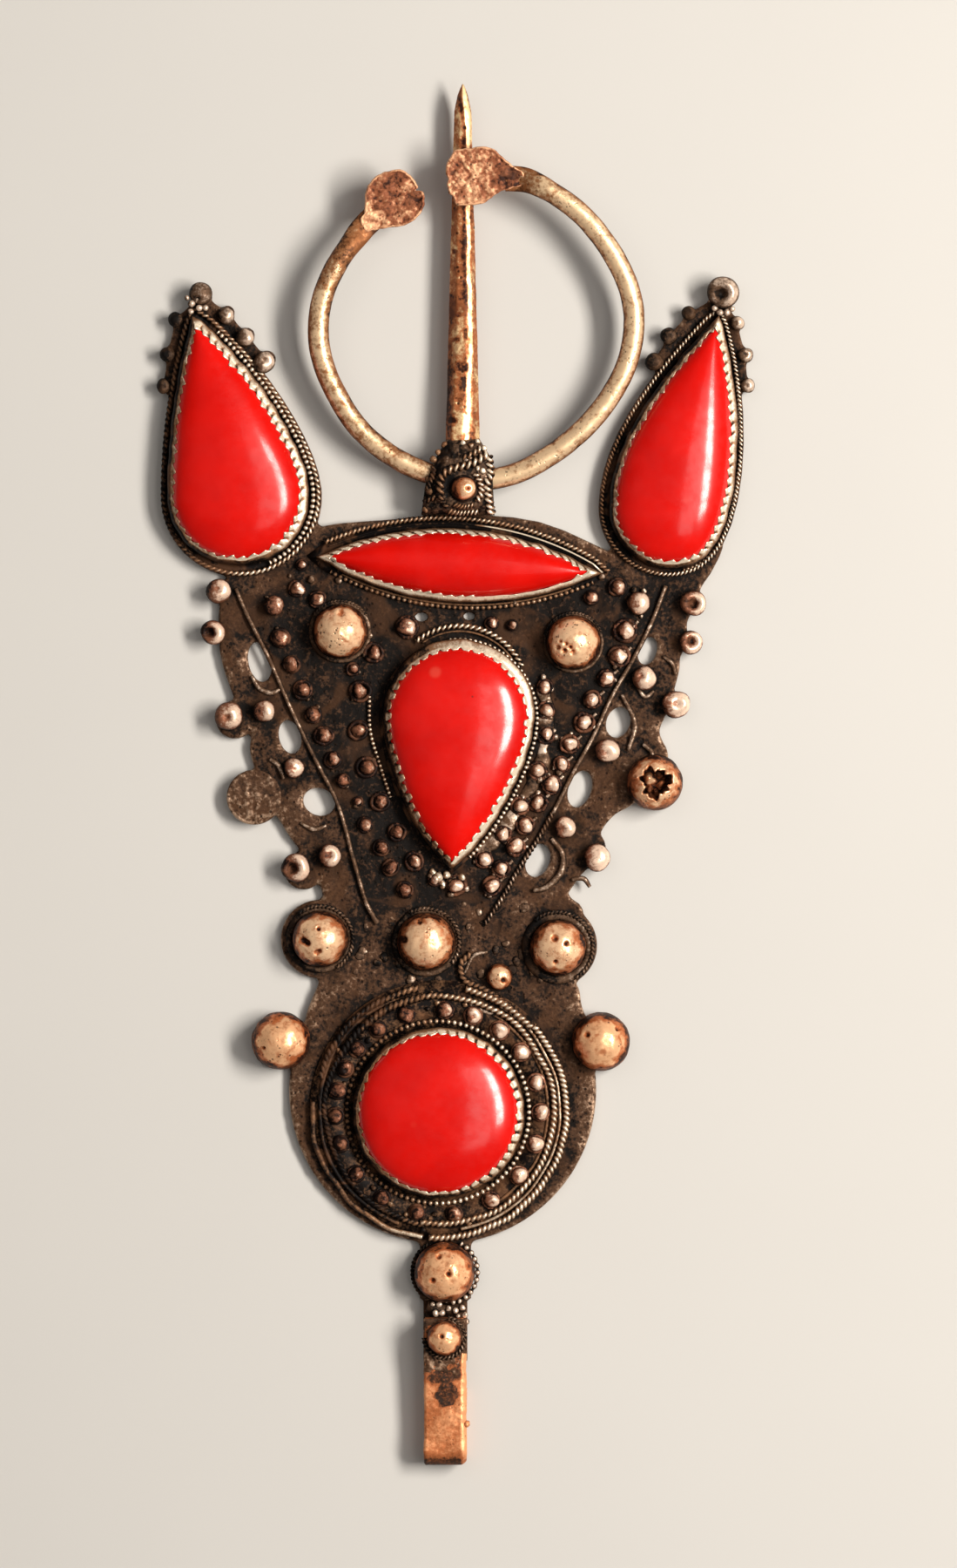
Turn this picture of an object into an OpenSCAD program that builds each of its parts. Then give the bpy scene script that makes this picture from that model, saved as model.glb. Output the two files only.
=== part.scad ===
// Berber fibula brooch: a pierced plate with five red stones, a fixed pin and an open ring.
// X runs to the right and Y towards the pin's tip, seen from the front. Z points at the viewer.
// The brooch lies on its back, so the back of the plate is z = 0. All sizes are millimetres.

/* [Plate] */
// Thickness of the back plate
plate_t = 1.2; // [1.1:0.05:1.25]
// Radius of the round lower part of the plate
disc_r = 16.8; // [16.5:0.1:17.2]
// How far the plate reaches past the border wire of a setting
plate_margin = 0.15; // [0.1:0.05:0.3]

/* [Settings and stones] */
// Thickness of a setting's floor
floor_t = 0.3; // [0.2:0.05:0.4]
// Height of the bezel wall above the plate
bezel_h = 2.15; // [1.8:0.05:2.4]
// Outer edge of the bezel, measured out from the visible edge of the stone
bezel_out = 0.6; // [0.55:0.05:0.7]
// Height of the border wire round a setting
border_h = 0.75; // [0.6:0.05:0.9]
// Rise of a stone's dome above its bezel
dome_rise = 2.6; // [2:0.1:3.2]

/* [Pin] */
// Distance of the pin's tip from the plate's origin, along Y
pin_tip_y = 75.4; // [72:0.1:78]
// Width of the pin where it leaves the collar
pin_w = 3.8; // [3.4:0.1:4]
// Height of the pin's axis above the back
pin_z = 2.7; // [2.65:0.05:2.75]

/* [Ring] */
// Radius of the ring's centre line
ring_r = 16.8; // [16.6:0.1:16.9]
// Radius of the ring's wire
wire_r = 1.15; // [1.05:0.05:1.2]
// Running clearance between the wire and the collar's bore
bore_gap = 0.2; // [0.15:0.05:0.25]
// Lift of the ring's plane, so that the wire passes over the pin
ring_tilt = 3.75; // [3.6:0.05:4]
// Radius of the flat round ends of the ring
terminal_r = 3.1; // [2.8:0.1:3.2]
// Thickness of the flat round ends
terminal_t = 0.9; // [0.8:0.05:1]

/* [Tail] */
// Width of the strip that holds a chain
strip_w = 4.65; // [4.2:0.05:4.8]
// Thickness of the strip
strip_t = 0.9; // [0.8:0.05:1]
// Outer height of the strip's bend
bend_h = 3.6; // [3.4:0.1:4]

/* [Hidden] */
$fn = 64;
SIDES = ["left", "right"];
SIDE_KINDS = ["wire_", "grains_edge_", "grains_row_", "grains_inner_", "grains_wing_", "tip_ball_"];

// Stones: name, centre of the round part, its radius, tip, then the side that leaves the tip and the
// side that comes back to it, counter-clockwise. A side is [angle at which it meets the round part,
// pull there, heading at the tip, pull there].
PEARS = [
    ["wing_left", [-23.95, 30.6], 7.05, [-28.5, 49.1], [180, 6.4, 254.7, 6.1], [365, 4.75, 320, 7.1]],
    ["wing_right", [23.35, 29.25], 6.1, [28.4, 49.1], [180, 6.05, 226.2, 9.7], [290, 5.2, 286.3, 10.45]],
    ["centre", [0.2, 6.2], 7.7, [-0.5, -9.5], [-8, 4.3, 40, 5.7], [188, 4.3, 140, 5.7]]
];

// The lens-shaped top stone: centre, half length, half height and turn
lens_centre = [0.2, 22.95];
lens_l = 14.4;
lens_h = 3.5;
lens_turn = -3.3;

// The round stone, its rings and the plate's disc behind them
round_centre = [-2.0, -36.8];
round_r = 8.75;
rope_centre = [-1.8, -36.6];
rope_rs = [12.5, 13.9];
rope_w = 0.75;
rope_h = 1.0;
bead_ring_r = 9.95;
bead_w = 0.6;
disc_centre = [-1.5, -34.4];
round_grain_angles = [
    0, 17, 36, 53, 70, 86, 108, 126, 142, 155, 168, 182, 198, 217, 237, 258, 279, 301, 322, 342
];
round_grain_centre = (round_centre + rope_centre) / 2;
round_grain_ring_r = 11.18;
round_grain_r = 0.7;

// Fit of a stone in its bezel, measured out from the stone's visible edge
stone_out = 0.12;
wall_in = 0.2;
lip_in = 0;
lip_h = 0.3;
shoulder_in = -0.12;
shoulder_h = 0.25;
floor_z = plate_t + floor_t;
lip_z = plate_t + bezel_h - lip_h;
girdle_z = lip_z - shoulder_h;

// Border wires round the settings: [inner edge, outer edge, shift], measured out from the stone
wing_borders = [[0.95, 1.6, [0.45, -0.15]], [0.85, 1.4, [-0.15, 0]]];
lens_border = [1.05, 1.65, [0, 0.12]];
wing_limit = 1.5;

// Centre setting: reach of its floor, the arc of rope over its head and the tab that joins the two
hug_border = 0.8;
crown_centre = [0.33, 8.8];
crown_r = 7.5;
crown_angles = [24, 129];
crown_w = 0.7;
crown_tab = [1.2, 1.8];

// Plate edge, counter-clockwise: up the right side, across the top and down the left side
plate_edge = [
    [13.9, -31.0], [14.4, -27.5], [13.7, -25.2], [13.4, -23.3], [12.4, -21.4], [12.8, -18.5],
    [13.9, -14.8], [12.3, -13.2], [12.7, -12.2], [14.1, -10.4], [16.2, -8.6], [16.2, -7.2],
    [15.8, -6.2], [17.3, -4.3], [19.1, -3.3], [21.5, -1.0], [23.2, 2.0], [22.2, 4.6],
    [22.8, 6.4], [23.8, 9.3], [24.4, 11.6], [24.5, 13.0], [25.4, 14.6], [25.2, 16.6],
    [26.2, 18.8], [26.8, 20.6], [28.2, 22.8], [28.4, 25.4], [18.5, 23.6], [16.4, 24.6], [9.1, 27.7],
    [0.5, 28.5], [-8.0, 27.9], [-14.8, 27.2], [-17.2, 25.2], [-22.0, 23.4], [-25.0, 21.8],
    [-25.6, 19.6], [-26.0, 17.6], [-25.9, 13.8], [-25.3, 11.2], [-24.5, 9.0], [-23.8, 7.4],
    [-22.3, 5.6], [-22.6, 2.9], [-22.0, 0.6], [-21.0, -2.4], [-19.4, -4.8], [-18.5, -6.3],
    [-17.2, -8.0], [-15.2, -9.0], [-14.9, -11.4], [-14.4, -14.3], [-13.4, -17.8], [-14.6, -20.9],
    [-15.1, -22.8], [-15.9, -24.7], [-16.5, -26.5], [-16.8, -30.0], [-15.5, -33.0]
];

// Pierced openings: centre, width, height, turn
PIERCINGS = [
    [[-21.5, 12.4], 2.5, 4.5, 12], [[-18.2, 4.2], 2.4, 3.8, 14], [[-15.0, -2.9], 3.6, 3.0, -20],
    [[20.9, 13.6], 2.0, 3.2, -18], [[17.7, 5.8], 2.6, 3.5, -20], [[13.5, -1.5], 2.5, 4.2, -18],
    [[8.9, -9.3], 2.6, 3.8, -20], [[-3.8, 17.3], 1.6, 1.0, 0], [[1.4, 17.4], 1.4, 0.9, 0]
];

// Plate tabs that carry what stands at or past the edge: centre, radius
TABS = [
    [[-22.1, -2.4], 2.9], [[21.7, -0.8], 2.8], [[-14.9, -17.9], 4.3], [[10.9, -18.6], 4.5],
    [[-19.2, -29.0], 2.9], [[15.8, -29.1], 2.9], [[-27.9, 52.4], 1.2], [[29.15, 52.6], 1.6],
    [[-26.0, 20.1], 1.2], [[-24.2, 6.1], 2.1], [[-16.7, -10.4], 2.1], [[24.0, 7.8], 1.2],
    [[25.7, 19.0], 1.3], [[15.2, -9.0], 1.2]
];

// Domes: name, centre, radius, radius of the base ring, height of the base
DOMES = [
    ["upper_left", [-12.7, 15.7], 2.85, 3.5, 1.0],
    ["upper_right", [12.8, 14.5], 2.85, 3.4, 1.0],
    ["mid_left", [-14.9, -17.9], 3.0, 3.8, 1.0],
    ["mid_centre", [-3.3, -18.2], 3.1, 3.8, 1.0],
    ["mid_right", [11.1, -18.8], 3.0, 4.0, 1.0],
    ["small", [4.7, -22.0], 1.4, 1.5, 0.5],
    ["low_left", [-19.2, -29.0], 3.1, 3.2, 0.8],
    ["low_right", [15.8, -29.1], 3.1, 3.2, 0.8],
    ["tail_large", [-1.3, -54.25], 3.05, 3.1, 1.2]
];
TAIL_DOME = ["tail_small", [-1.3, -61.3], 1.8, 2.1, 0.5];
base_ring_h = 0.5;

// The dome whose top has broken away, and the disc that has lost its dome
broken_centre = [21.7, -0.8];
broken_r = 3.0;
broken_base_h = 0.9;
broken_wall = 0.35;
broken_hole_r = 1.5;
bare_centre = [-22.1, -2.4];
bare_r = 3.0;
bare_h = 0.6;

// Granules: [x, y, radius]
EDGE_GRAINS = [
    [[-26.0, 20.1, 1.35], [-26.6, 15.6, 1.35], [-24.9, 6.4, 1.55], [-21.0, 7.0, 1.2],
     [-17.8, 0.8, 1.1], [-17.5, -10.1, 1.6], [-13.8, -8.8, 1.3]],
    [[25.9, 18.8, 1.4], [25.6, 14.4, 1.3], [24.0, 7.8, 1.5], [20.5, 10.6, 1.3],
     [16.5, 2.7, 1.3], [11.9, -5.7, 1.2], [15.3, -9.0, 1.5]]
];
ROW_GRAINS = [
    [[-19.9, 18.5, 1.1], [-19.2, 15.0, 0.85], [-18.0, 12.1, 0.75], [-16.8, 9.3, 0.85], [-15.6, 6.6, 0.75],
     [-14.5, 4.3, 0.85], [-13.5, 1.7, 0.75], [-12.4, -0.6, 0.65], [-10.8, -2.9, 0.45], [-10.0, -5.4, 0.7],
     [-8.2, -7.9, 0.75], [-7.2, -10.1, 0.75], [-5.6, -12.5, 0.75]],
    [[19.9, 18.8, 1.25], [18.5, 15.8, 1.05], [17.8, 13.0, 0.95], [16.4, 10.6, 0.8], [14.9, 8.3, 0.8],
     [14.0, 5.8, 0.9], [12.4, 3.4, 0.85], [11.5, 1.2, 0.75], [10.4, -1.0, 0.9], [8.9, -3.0, 0.85],
     [7.5, -5.5, 0.85], [6.5, -7.8, 0.85], [4.9, -10.2, 0.8], [3.9, -12.1, 0.85]]
];
INNER_GRAINS = [
    [[-10.5, 9.2, 0.95], [-10.7, 4.9, 0.85], [-9.8, 0.9, 0.95], [-8.3, -2.9, 0.85], [-6.5, -6.2, 0.8],
     [-4.6, -9.4, 0.85], [-11.3, 11.6, 0.6], [-9.0, 13.4, 0.9]],
    [[9.7, 9.7, 0.7], [9.8, 7.1, 0.8], [9.8, 4.4, 0.8], [8.9, 0.5, 0.85], [7.0, -3.3, 0.85],
     [5.1, -6.4, 0.75], [3.0, -9.2, 0.8], [0.0, -12.0, 0.9], [-2.3, -11.4, 0.6]]
];
TOP_GRAINS = [
    [-17.4, 20.4, 0.75], [-15.2, 19.2, 0.75], [-5.4, 16.2, 1.0], [3.9, 16.6, 0.6], [6.1, 16.4, 0.5],
    [14.8, 19.4, 0.65], [17.6, 20.6, 0.8], [-16.9, 23.0, 0.5]
];
WING_GRAINS = [
    [[-25.0, 50.6, 0.85], [-22.9, 48.1, 0.95], [-20.7, 45.5, 1.05],
     [-30.7, 49.8, 0.8], [-31.6, 46.0, 0.85], [-32.0, 42.5, 0.8]],
    [[30.7, 49.4, 0.8], [31.6, 45.9, 0.85], [31.85, 42.6, 0.8],
     [25.4, 50.5, 0.75], [23.2, 48.0, 0.85], [21.6, 45.2, 0.95]]
];
TIP_BALLS = [[-27.9, 52.6, 1.25], [29.15, 52.7, 1.75]];
grain_seat = 0.55;
low_seat = 0.25;
grain_gap = 0.1;

// Straight wires that frame the middle field, as points along their middle, and their widths
WIRES = [
    [[-24.1, 20.4], [-22.9, 17.6], [-20.5, 12.8], [-18.0, 7.1], [-15.4, 1.7], [-12.9, -3.3],
     [-11.3, -9.0], [-9.9, -13.8], [-8.6, -16.2]],
    [[22.9, 20.7], [21.3, 16.6], [19.4, 12.8], [17.0, 8.6], [15.0, 4.3], [12.9, 0.5], [11.0, -3.3],
     [9.1, -6.7], [7.0, -10.0], [5.1, -13.3], [3.1, -16.3]]
];
field_wire_w = 0.5;
field_wire_h = 0.6;

// Ring: where its plane passes through the collar, and its ends in the ring's own plane
ring_x = 2.1;
collar_wire = [32.2, 3.0];
ring_centre = [
    ring_x, collar_wire[0] + ring_r * cos(ring_tilt), collar_wire[1] + ring_r * sin(ring_tilt)
];
ring_from = 148;
ring_to = 432;
end_centres = [[-8.75, 13.85], [-0.2, 16.15]];
end_z = -1.1;
neck_reach = 0.9;
neck_r = 0.6;
neck_inset = 0.15;
neck_wire = 0.9;

// Collar: [y from, y to, x from, x to, top], how square its shoulders are, its seat on the plate
// and the boss on its front
COLLAR = [
    [28.6, 30.2, -3.6, 4.2, 4.4], [29.4, 34.7, -3.7, 3.9, 5.3], [34.5, 36.6, -2.5, 3.7, 4.7]
];
shoulder_pull = [0.55, 0.75];
collar_seat = [[-3.3, 26.0], [3.3, 36.2]];
boss_at = [0.75, 31.2];
boss_z = 5.2;
boss_r = 1.15;
boss_ring_r = 2.1;
boss_ring_h = 0.55;

// Pin: [distance from the tip, width as a part of the full width], and its faceted section
PIN_TAPER = [[0, 0.05], [1.2, 0.3], [3.0, 0.5], [19.6, 0.74], [29.3, 0.87], [38.8, 1]];
pin_x = 0.7;
pin_section = [[-1, 0], [-0.62, -0.68], [0.6, -0.68], [1, 0], [0.62, 0.54], [0.2, 0.75], [-0.62, 0.7]];

// Tail: the plate's tongue and the strip
tongue = [[-4.0, -64.0], [1.6, -48.0]];
strip_x = -1.2;
strip_start_y = -59.2;
strip_end_y = -75.3;
strip_hook_y = -67.0;

// Outlines

function polar(r, a) = r * [cos(a), sin(a)];
function arc(centre, r, from, to, n) = [for (i = [0:n]) centre + polar(r, from + (to - from) * i / n)];
function bezier(a, b, c, d, n) =
    [for (i = [1:n - 1])
        let (t = i / n, u = 1 - t)
        u * u * u * a + 3 * u * u * t * b + 3 * u * t * t * c + t * t * t * d];

// Closed pear outline, counter-clockwise from the tip
function pear(row, n = 10) =
    let (centre = row[1], r = row[2], tip = row[3], out = row[4], back = row[5])
    let (first = centre + polar(r, out[0]), last = centre + polar(r, back[0]))
    concat(
        [tip],
        bezier(tip, tip + polar(out[3], out[2]), first - polar(out[1], out[0] + 90), first, n),
        arc(centre, r, out[0], back[0], 2 * n),
        bezier(last, last + polar(back[1], back[0] + 90), tip + polar(back[3], back[2]), tip, n)
    );

// Closed lens outline of two equal arcs that meet at the tips, turned about its centre
function lens(centre, l, h, turn, n = 16) =
    let (r = (l * l + h * h) / (2 * h), half = asin(l / r))
    [for (side = [0, 1], i = [0:n - 1])
        let (a = -half + 2 * half * i / n, p = [r * sin(a), -r * cos(a) + r - h] * (side == 0 ? 1 : -1))
        centre + [p.x * cos(turn) - p.y * sin(turn), p.x * sin(turn) + p.y * cos(turn)]];

// Closed outline moved outwards by d, with pointed corners reaching at most `limit` times d
function unit(v) = v / norm(v);
function normal(a, b) = let (v = unit(b - a)) [v.y, -v.x];
function grow(outline, d, limit = 2.3) =
    let (n = len(outline))
    [for (i = [0:n - 1])
        let (p = outline[i])
        let (before = normal(outline[(i + n - 1) % n], p), after = normal(p, outline[(i + 1) % n]))
        let (middle = unit(before + after))
        p + d * min(limit, 1 / max(0.1, middle * after)) * middle];

// Closed Catmull-Rom curve through hand-set points
function smooth(points, steps = 3) =
    let (n = len(points))
    [for (i = [0:n - 1], k = [0:steps - 1])
        let (a = points[(i + n - 1) % n], b = points[i], c = points[(i + 1) % n], t = k / steps)
        let (d = points[(i + 2) % n])
        b + 0.5 * t * ((c - a) + t * ((2 * a - 5 * b + 4 * c - d) + t * (3 * b - a - 3 * c + d)))];

// Band of width w along a line of points
function band(path, w) =
    let (n = len(path))
    let (sides = [for (i = [0:n - 1]) normal(path[max(i - 1, 0)], path[min(i + 1, n - 1)]) * w / 2])
    concat([for (i = [0:n - 1]) path[i] + sides[i]], [for (i = [n - 1:-1:0]) path[i] - sides[i]]);

top_outline = lens(lens_centre, lens_l, lens_h, lens_turn);

// Building blocks

module slab(outline, z0, z1) {
    translate([0, 0, z0]) linear_extrude(z1 - z0) polygon(outline);
}

module disc(centre, r, z0, z1) {
    translate([centre.x, centre.y, z0]) cylinder(r = r, h = z1 - z0);
}

module loft(sections) {
    n = len(sections[0]);
    m = len(sections);
    polyhedron(
        points = [for (s = sections) each s],
        faces = concat(
            [[for (i = [0:n - 1]) i]],
            [for (k = [0:m - 2], i = [0:n - 1])
                let (j = (i + 1) % n) [k * n + i, (k + 1) * n + i, (k + 1) * n + j, k * n + j]],
            [[for (i = [n - 1:-1:0]) (m - 1) * n + i]]
        )
    );
}

function raised(outline, z) = [for (p = outline) [p.x, p.y, z]];

// Cabochon stone: a straight side, a small shoulder under the lip, then a dome over `peak`
module cabochon(outline, peak, steps = 7) {
    edge = grow(outline, shoulder_in);
    loft(concat(
        [raised(grow(outline, stone_out), floor_z), raised(grow(outline, stone_out), girdle_z)],
        [for (k = [0:steps])
            let (a = 88 * k / steps, s = cos(a))
            [for (p = edge) let (q = peak + (p - peak) * s) [q.x, q.y, lip_z + dome_rise * sin(a)]]]
    ));
}

// Bezel wall with a lip folded in over the stone, on a floor that carries the stone
module bezel(outline) {
    difference() {
        slab(grow(outline, bezel_out), plate_t, plate_t + bezel_h);
        slab(grow(outline, wall_in), floor_z, lip_z);
        slab(grow(outline, lip_in), floor_z, plate_t + bezel_h + 1);
    }
}

// Border wire of a setting, on a floor that reaches the bezel
module border(outline, edges) {
    translate([edges[2].x, edges[2].y, 0]) {
        difference() {
            slab(grow(outline, edges[1], wing_limit), plate_t, plate_t + border_h);
            slab(grow(outline, edges[0], wing_limit), floor_z, plate_t + border_h + 1);
        }
    }
}

module grain(x, y, r, seat = grain_seat) {
    difference() {
        translate([x, y, plate_t + seat * r]) sphere(r, $fn = 24);
        translate([x - 2 * r, y - 2 * r, plate_t - 2 * r]) cube([4 * r, 4 * r, 2 * r]);
    }
}

module grains(rows, seat = grain_seat) {
    for (g = rows) grain(g[0], g[1], g[2], seat);
}

module wire_torus(r, thick) {
    rotate_extrude() translate([r, 0]) circle(thick, $fn = 32);
}

module ring_frame() {
    translate(ring_centre) rotate([ring_tilt, 0, 0]) children();
}

// Sub-parts

module back_plate() {
    color("dimgray") difference() {
        union() {
            slab(smooth(plate_edge), 0, plate_t);
            for (s = [0, 1])
                translate([wing_borders[s][2].x, wing_borders[s][2].y, 0])
                    slab(grow(pear(PEARS[s]), wing_borders[s][1] + plate_margin, wing_limit), 0, plate_t);
            translate([lens_border[2].x, lens_border[2].y, 0])
                slab(grow(top_outline, lens_border[1] + plate_margin, wing_limit), 0, plate_t);
            disc(disc_centre, disc_r, 0, plate_t);
            for (t = TABS) disc(t[0], t[1], 0, plate_t);
            for (s = [0, 1]) {
                g = [for (row = WING_GRAINS[s]) [row[0], row[1]]];
                tip = [TIP_BALLS[s][0], TIP_BALLS[s][1]];
                for (row = WING_GRAINS[s]) disc(row, row[2] - 0.1, 0, plate_t);
                slab([tip, g[0], g[1], g[2], g[5], g[4], g[3]], 0, plate_t);
            }
            for (b = [collar_seat, tongue])
                translate([b[0].x, b[0].y, 0]) cube([b[1].x - b[0].x, b[1].y - b[0].y, plate_t]);
        }
        for (p = PIERCINGS)
            translate([p[0].x, p[0].y, -1]) rotate(p[3]) linear_extrude(plate_t + 2)
                polygon([for (a = [0:20:340]) [p[1] / 2 * cos(a), p[2] / 2 * sin(a)]]);
    }
}

module collar_step(c) {
    x_mid = (c[2] + c[3]) / 2;
    half = (c[3] - c[2]) / 2;
    rise = c[4] - plate_t;
    profile = [for (i = [0:16]) let (a = 180 * i / 16)
        [x_mid + half * sign(cos(a)) * pow(abs(cos(a)), shoulder_pull[0]),
         plate_t + rise * pow(sin(a), shoulder_pull[1])]];
    translate([0, c[1], 0]) rotate([90, 0, 0]) linear_extrude(c[1] - c[0]) polygon(profile);
}

module ring_collar() {
    color("gray") difference() {
        union() {
            for (c = COLLAR) collar_step(c);
            disc(boss_at, boss_ring_r, boss_z - 1, boss_z + boss_ring_h);
            translate([boss_at.x, boss_at.y, boss_z + boss_ring_h]) sphere(boss_r);
        }
        ring_frame() wire_torus(ring_r, wire_r + bore_gap);
    }
}

module pin() {
    color("tan") translate([pin_x, pin_tip_y, pin_z]) rotate([90, 0, 0])
        loft([for (s = PIN_TAPER) [for (q = pin_section)
            [q.x * s[1] * pin_w / 2, q.y * s[1] * pin_w / 2, s[0]]]]);
}

// The flat round end, and a neck that grows out of the wire's end and runs down into it
module terminal(centre, wire_angle) {
    wire_end = polar(ring_r, wire_angle);
    neck_end = centre * neck_reach + wire_end * (1 - neck_reach);
    translate([centre.x, centre.y, end_z]) cylinder(r = terminal_r, h = terminal_t);
    hull() {
        translate([wire_end.x, wire_end.y, 0]) sphere(wire_r * neck_wire, $fn = 20);
        translate([neck_end.x, neck_end.y, end_z + neck_inset])
            cylinder(r = terminal_r * neck_r, h = terminal_t - 2 * neck_inset, $fn = 24);
    }
}

module ring() {
    color("burlywood") ring_frame() {
        rotate([0, 0, ring_from]) rotate_extrude(angle = ring_to - ring_from)
            translate([ring_r, 0]) circle(wire_r, $fn = 32);
        terminal(end_centres[0], ring_from);
        terminal(end_centres[1], ring_to);
    }
}

module chain_strip() {
    x0 = strip_x - strip_w / 2;
    bend_r = bend_h / 2;
    bend_y = strip_end_y + bend_r;
    color("peru") {
        translate([x0, strip_start_y - strip_t, plate_t]) cube([strip_w, strip_t, bend_h - plate_t]);
        translate([x0, bend_y, bend_h - strip_t]) cube([strip_w, strip_start_y - bend_y, strip_t]);
        translate([x0, bend_y, 0]) cube([strip_w, strip_hook_y - bend_y, strip_t]);
        difference() {
            translate([x0, bend_y, bend_r]) rotate([0, 90, 0]) cylinder(r = bend_r, h = strip_w);
            translate([x0 - 1, bend_y, bend_r]) rotate([0, 90, 0])
                cylinder(r = bend_r - strip_t, h = strip_w + 2);
            translate([x0 - 1, bend_y, -1]) cube([strip_w + 2, bend_r + 1, bend_h + 2]);
        }
    }
}

module setting_wing(s) {
    outline = pear(PEARS[s]);
    color("silver") {
        bezel(outline);
        border(outline, wing_borders[s]);
    }
}

module setting_centre() {
    color("silver") {
        bezel(pear(PEARS[2]));
        slab(grow(pear(PEARS[2]), hug_border, wing_limit), plate_t, floor_z);
        translate([crown_centre.x, crown_centre.y, plate_t])
            rotate([0, 0, crown_angles[0]]) rotate_extrude(angle = crown_angles[1] - crown_angles[0])
                translate([crown_r - crown_w / 2, 0]) square([crown_w, border_h]);
        translate([crown_centre.x - crown_tab.x / 2, crown_centre.y + crown_r - crown_tab.y, plate_t])
            cube([crown_tab.x, crown_tab.y, floor_t]);
    }
}

module setting_top() {
    color("silver") {
        bezel(top_outline);
        border(top_outline, lens_border);
    }
}

module setting_round() {
    color("silver") difference() {
        union() {
            disc(rope_centre, rope_rs[1] + rope_w / 2, plate_t, floor_z);
            disc(round_centre, round_r + bezel_out, plate_t, plate_t + bezel_h);
            for (r = rope_rs)
                translate([rope_centre.x, rope_centre.y, 0]) rotate_extrude()
                    translate([r - rope_w / 2, plate_t]) square([rope_w, rope_h]);
            translate([round_centre.x, round_centre.y, 0]) rotate_extrude()
                translate([bead_ring_r - bead_w / 2, plate_t]) square([bead_w, border_h]);
        }
        disc(round_centre, round_r + wall_in, floor_z, lip_z);
        disc(round_centre, round_r + lip_in, floor_z, plate_t + bezel_h + 1);
    }
}

module stone_round() {
    edge_r = round_r + shoulder_in;
    dome_r = (edge_r * edge_r + dome_rise * dome_rise) / (2 * dome_rise);
    color("red") {
        disc(round_centre, round_r + stone_out, floor_z, girdle_z);
        translate([round_centre.x, round_centre.y, girdle_z])
            cylinder(r1 = round_r + stone_out, r2 = edge_r, h = shoulder_h);
        intersection() {
            translate([round_centre.x, round_centre.y, lip_z + dome_rise - dome_r]) sphere(dome_r);
            disc(round_centre, edge_r + 1, lip_z, lip_z + dome_rise + 1);
        }
    }
}

module dome(d, z = plate_t) {
    color("chocolate") {
        disc(d[1], d[3], z, z + base_ring_h);
        disc(d[1], d[2], z, z + d[4]);
        intersection() {
            translate([d[1].x, d[1].y, z + d[4]]) sphere(d[2]);
            disc(d[1], d[2] + 1, z + d[4], z + d[4] + d[2] + 1);
        }
    }
}

module dome_broken() {
    z = plate_t + broken_base_h;
    color("chocolate") difference() {
        union() {
            disc(broken_centre, broken_r + 0.2, plate_t, plate_t + base_ring_h);
            disc(broken_centre, broken_r, plate_t, z);
            intersection() {
                translate([broken_centre.x, broken_centre.y, z]) sphere(broken_r);
                disc(broken_centre, broken_r + 1, z, z + broken_r + 1);
            }
        }
        translate([broken_centre.x, broken_centre.y, z]) sphere(broken_r - broken_wall);
        disc(broken_centre, broken_hole_r, z, z + broken_r + 1);
    }
}

module disc_bare() {
    color("darkkhaki") disc(bare_centre, bare_r, plate_t, plate_t + bare_h);
}

module grains_round() {
    color("gray") for (a = round_grain_angles)
        translate([0, 0, floor_t]) {
            p = round_grain_centre + polar(round_grain_ring_r, a);
            grain(p.x, p.y, round_grain_r);
        }
}

// Granules beside a wing's setting, cut back where they meet its border wire
module grains_wing(s) {
    shift = wing_borders[s][2];
    edge = grow(pear(PEARS[s]), wing_borders[s][1] + grain_gap, wing_limit);
    difference() {
        grains(WING_GRAINS[s], low_seat);
        translate([shift.x, shift.y, 0]) slab(edge, plate_t - 1, plate_t + 3);
    }
}

module side_node(kind, s) {
    if (kind == "wire_") color("gray")
        slab(band(WIRES[s], field_wire_w), plate_t, plate_t + field_wire_h);
    if (kind == "grains_edge_") color("chocolate") grains(EDGE_GRAINS[s]);
    if (kind == "grains_row_") color("chocolate") grains(ROW_GRAINS[s]);
    if (kind == "grains_inner_") color("gray") grains(INNER_GRAINS[s]);
    if (kind == "grains_wing_") color("gray") grains_wing(s);
    if (kind == "tip_ball_") color("gray") grain(TIP_BALLS[s][0], TIP_BALLS[s][1], TIP_BALLS[s][2]);
}

back_plate();
ring_collar();
pin();
ring();
chain_strip();
for (s = [0, 1]) setting_wing(s);
setting_centre();
setting_top();
setting_round();
for (p = PEARS) color("red") cabochon(pear(p), p[1]);
color("red") cabochon(top_outline, lens_centre);  // stone_top
stone_round();
for (d = DOMES) dome(d);
dome(TAIL_DOME, bend_h);  // dome_tail_small
dome_broken();
disc_bare();
for (s = [0, 1], k = SIDE_KINDS)
    side_node(k, s);
color("gray") grains(TOP_GRAINS);  // grains_top
grains_round();
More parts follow.
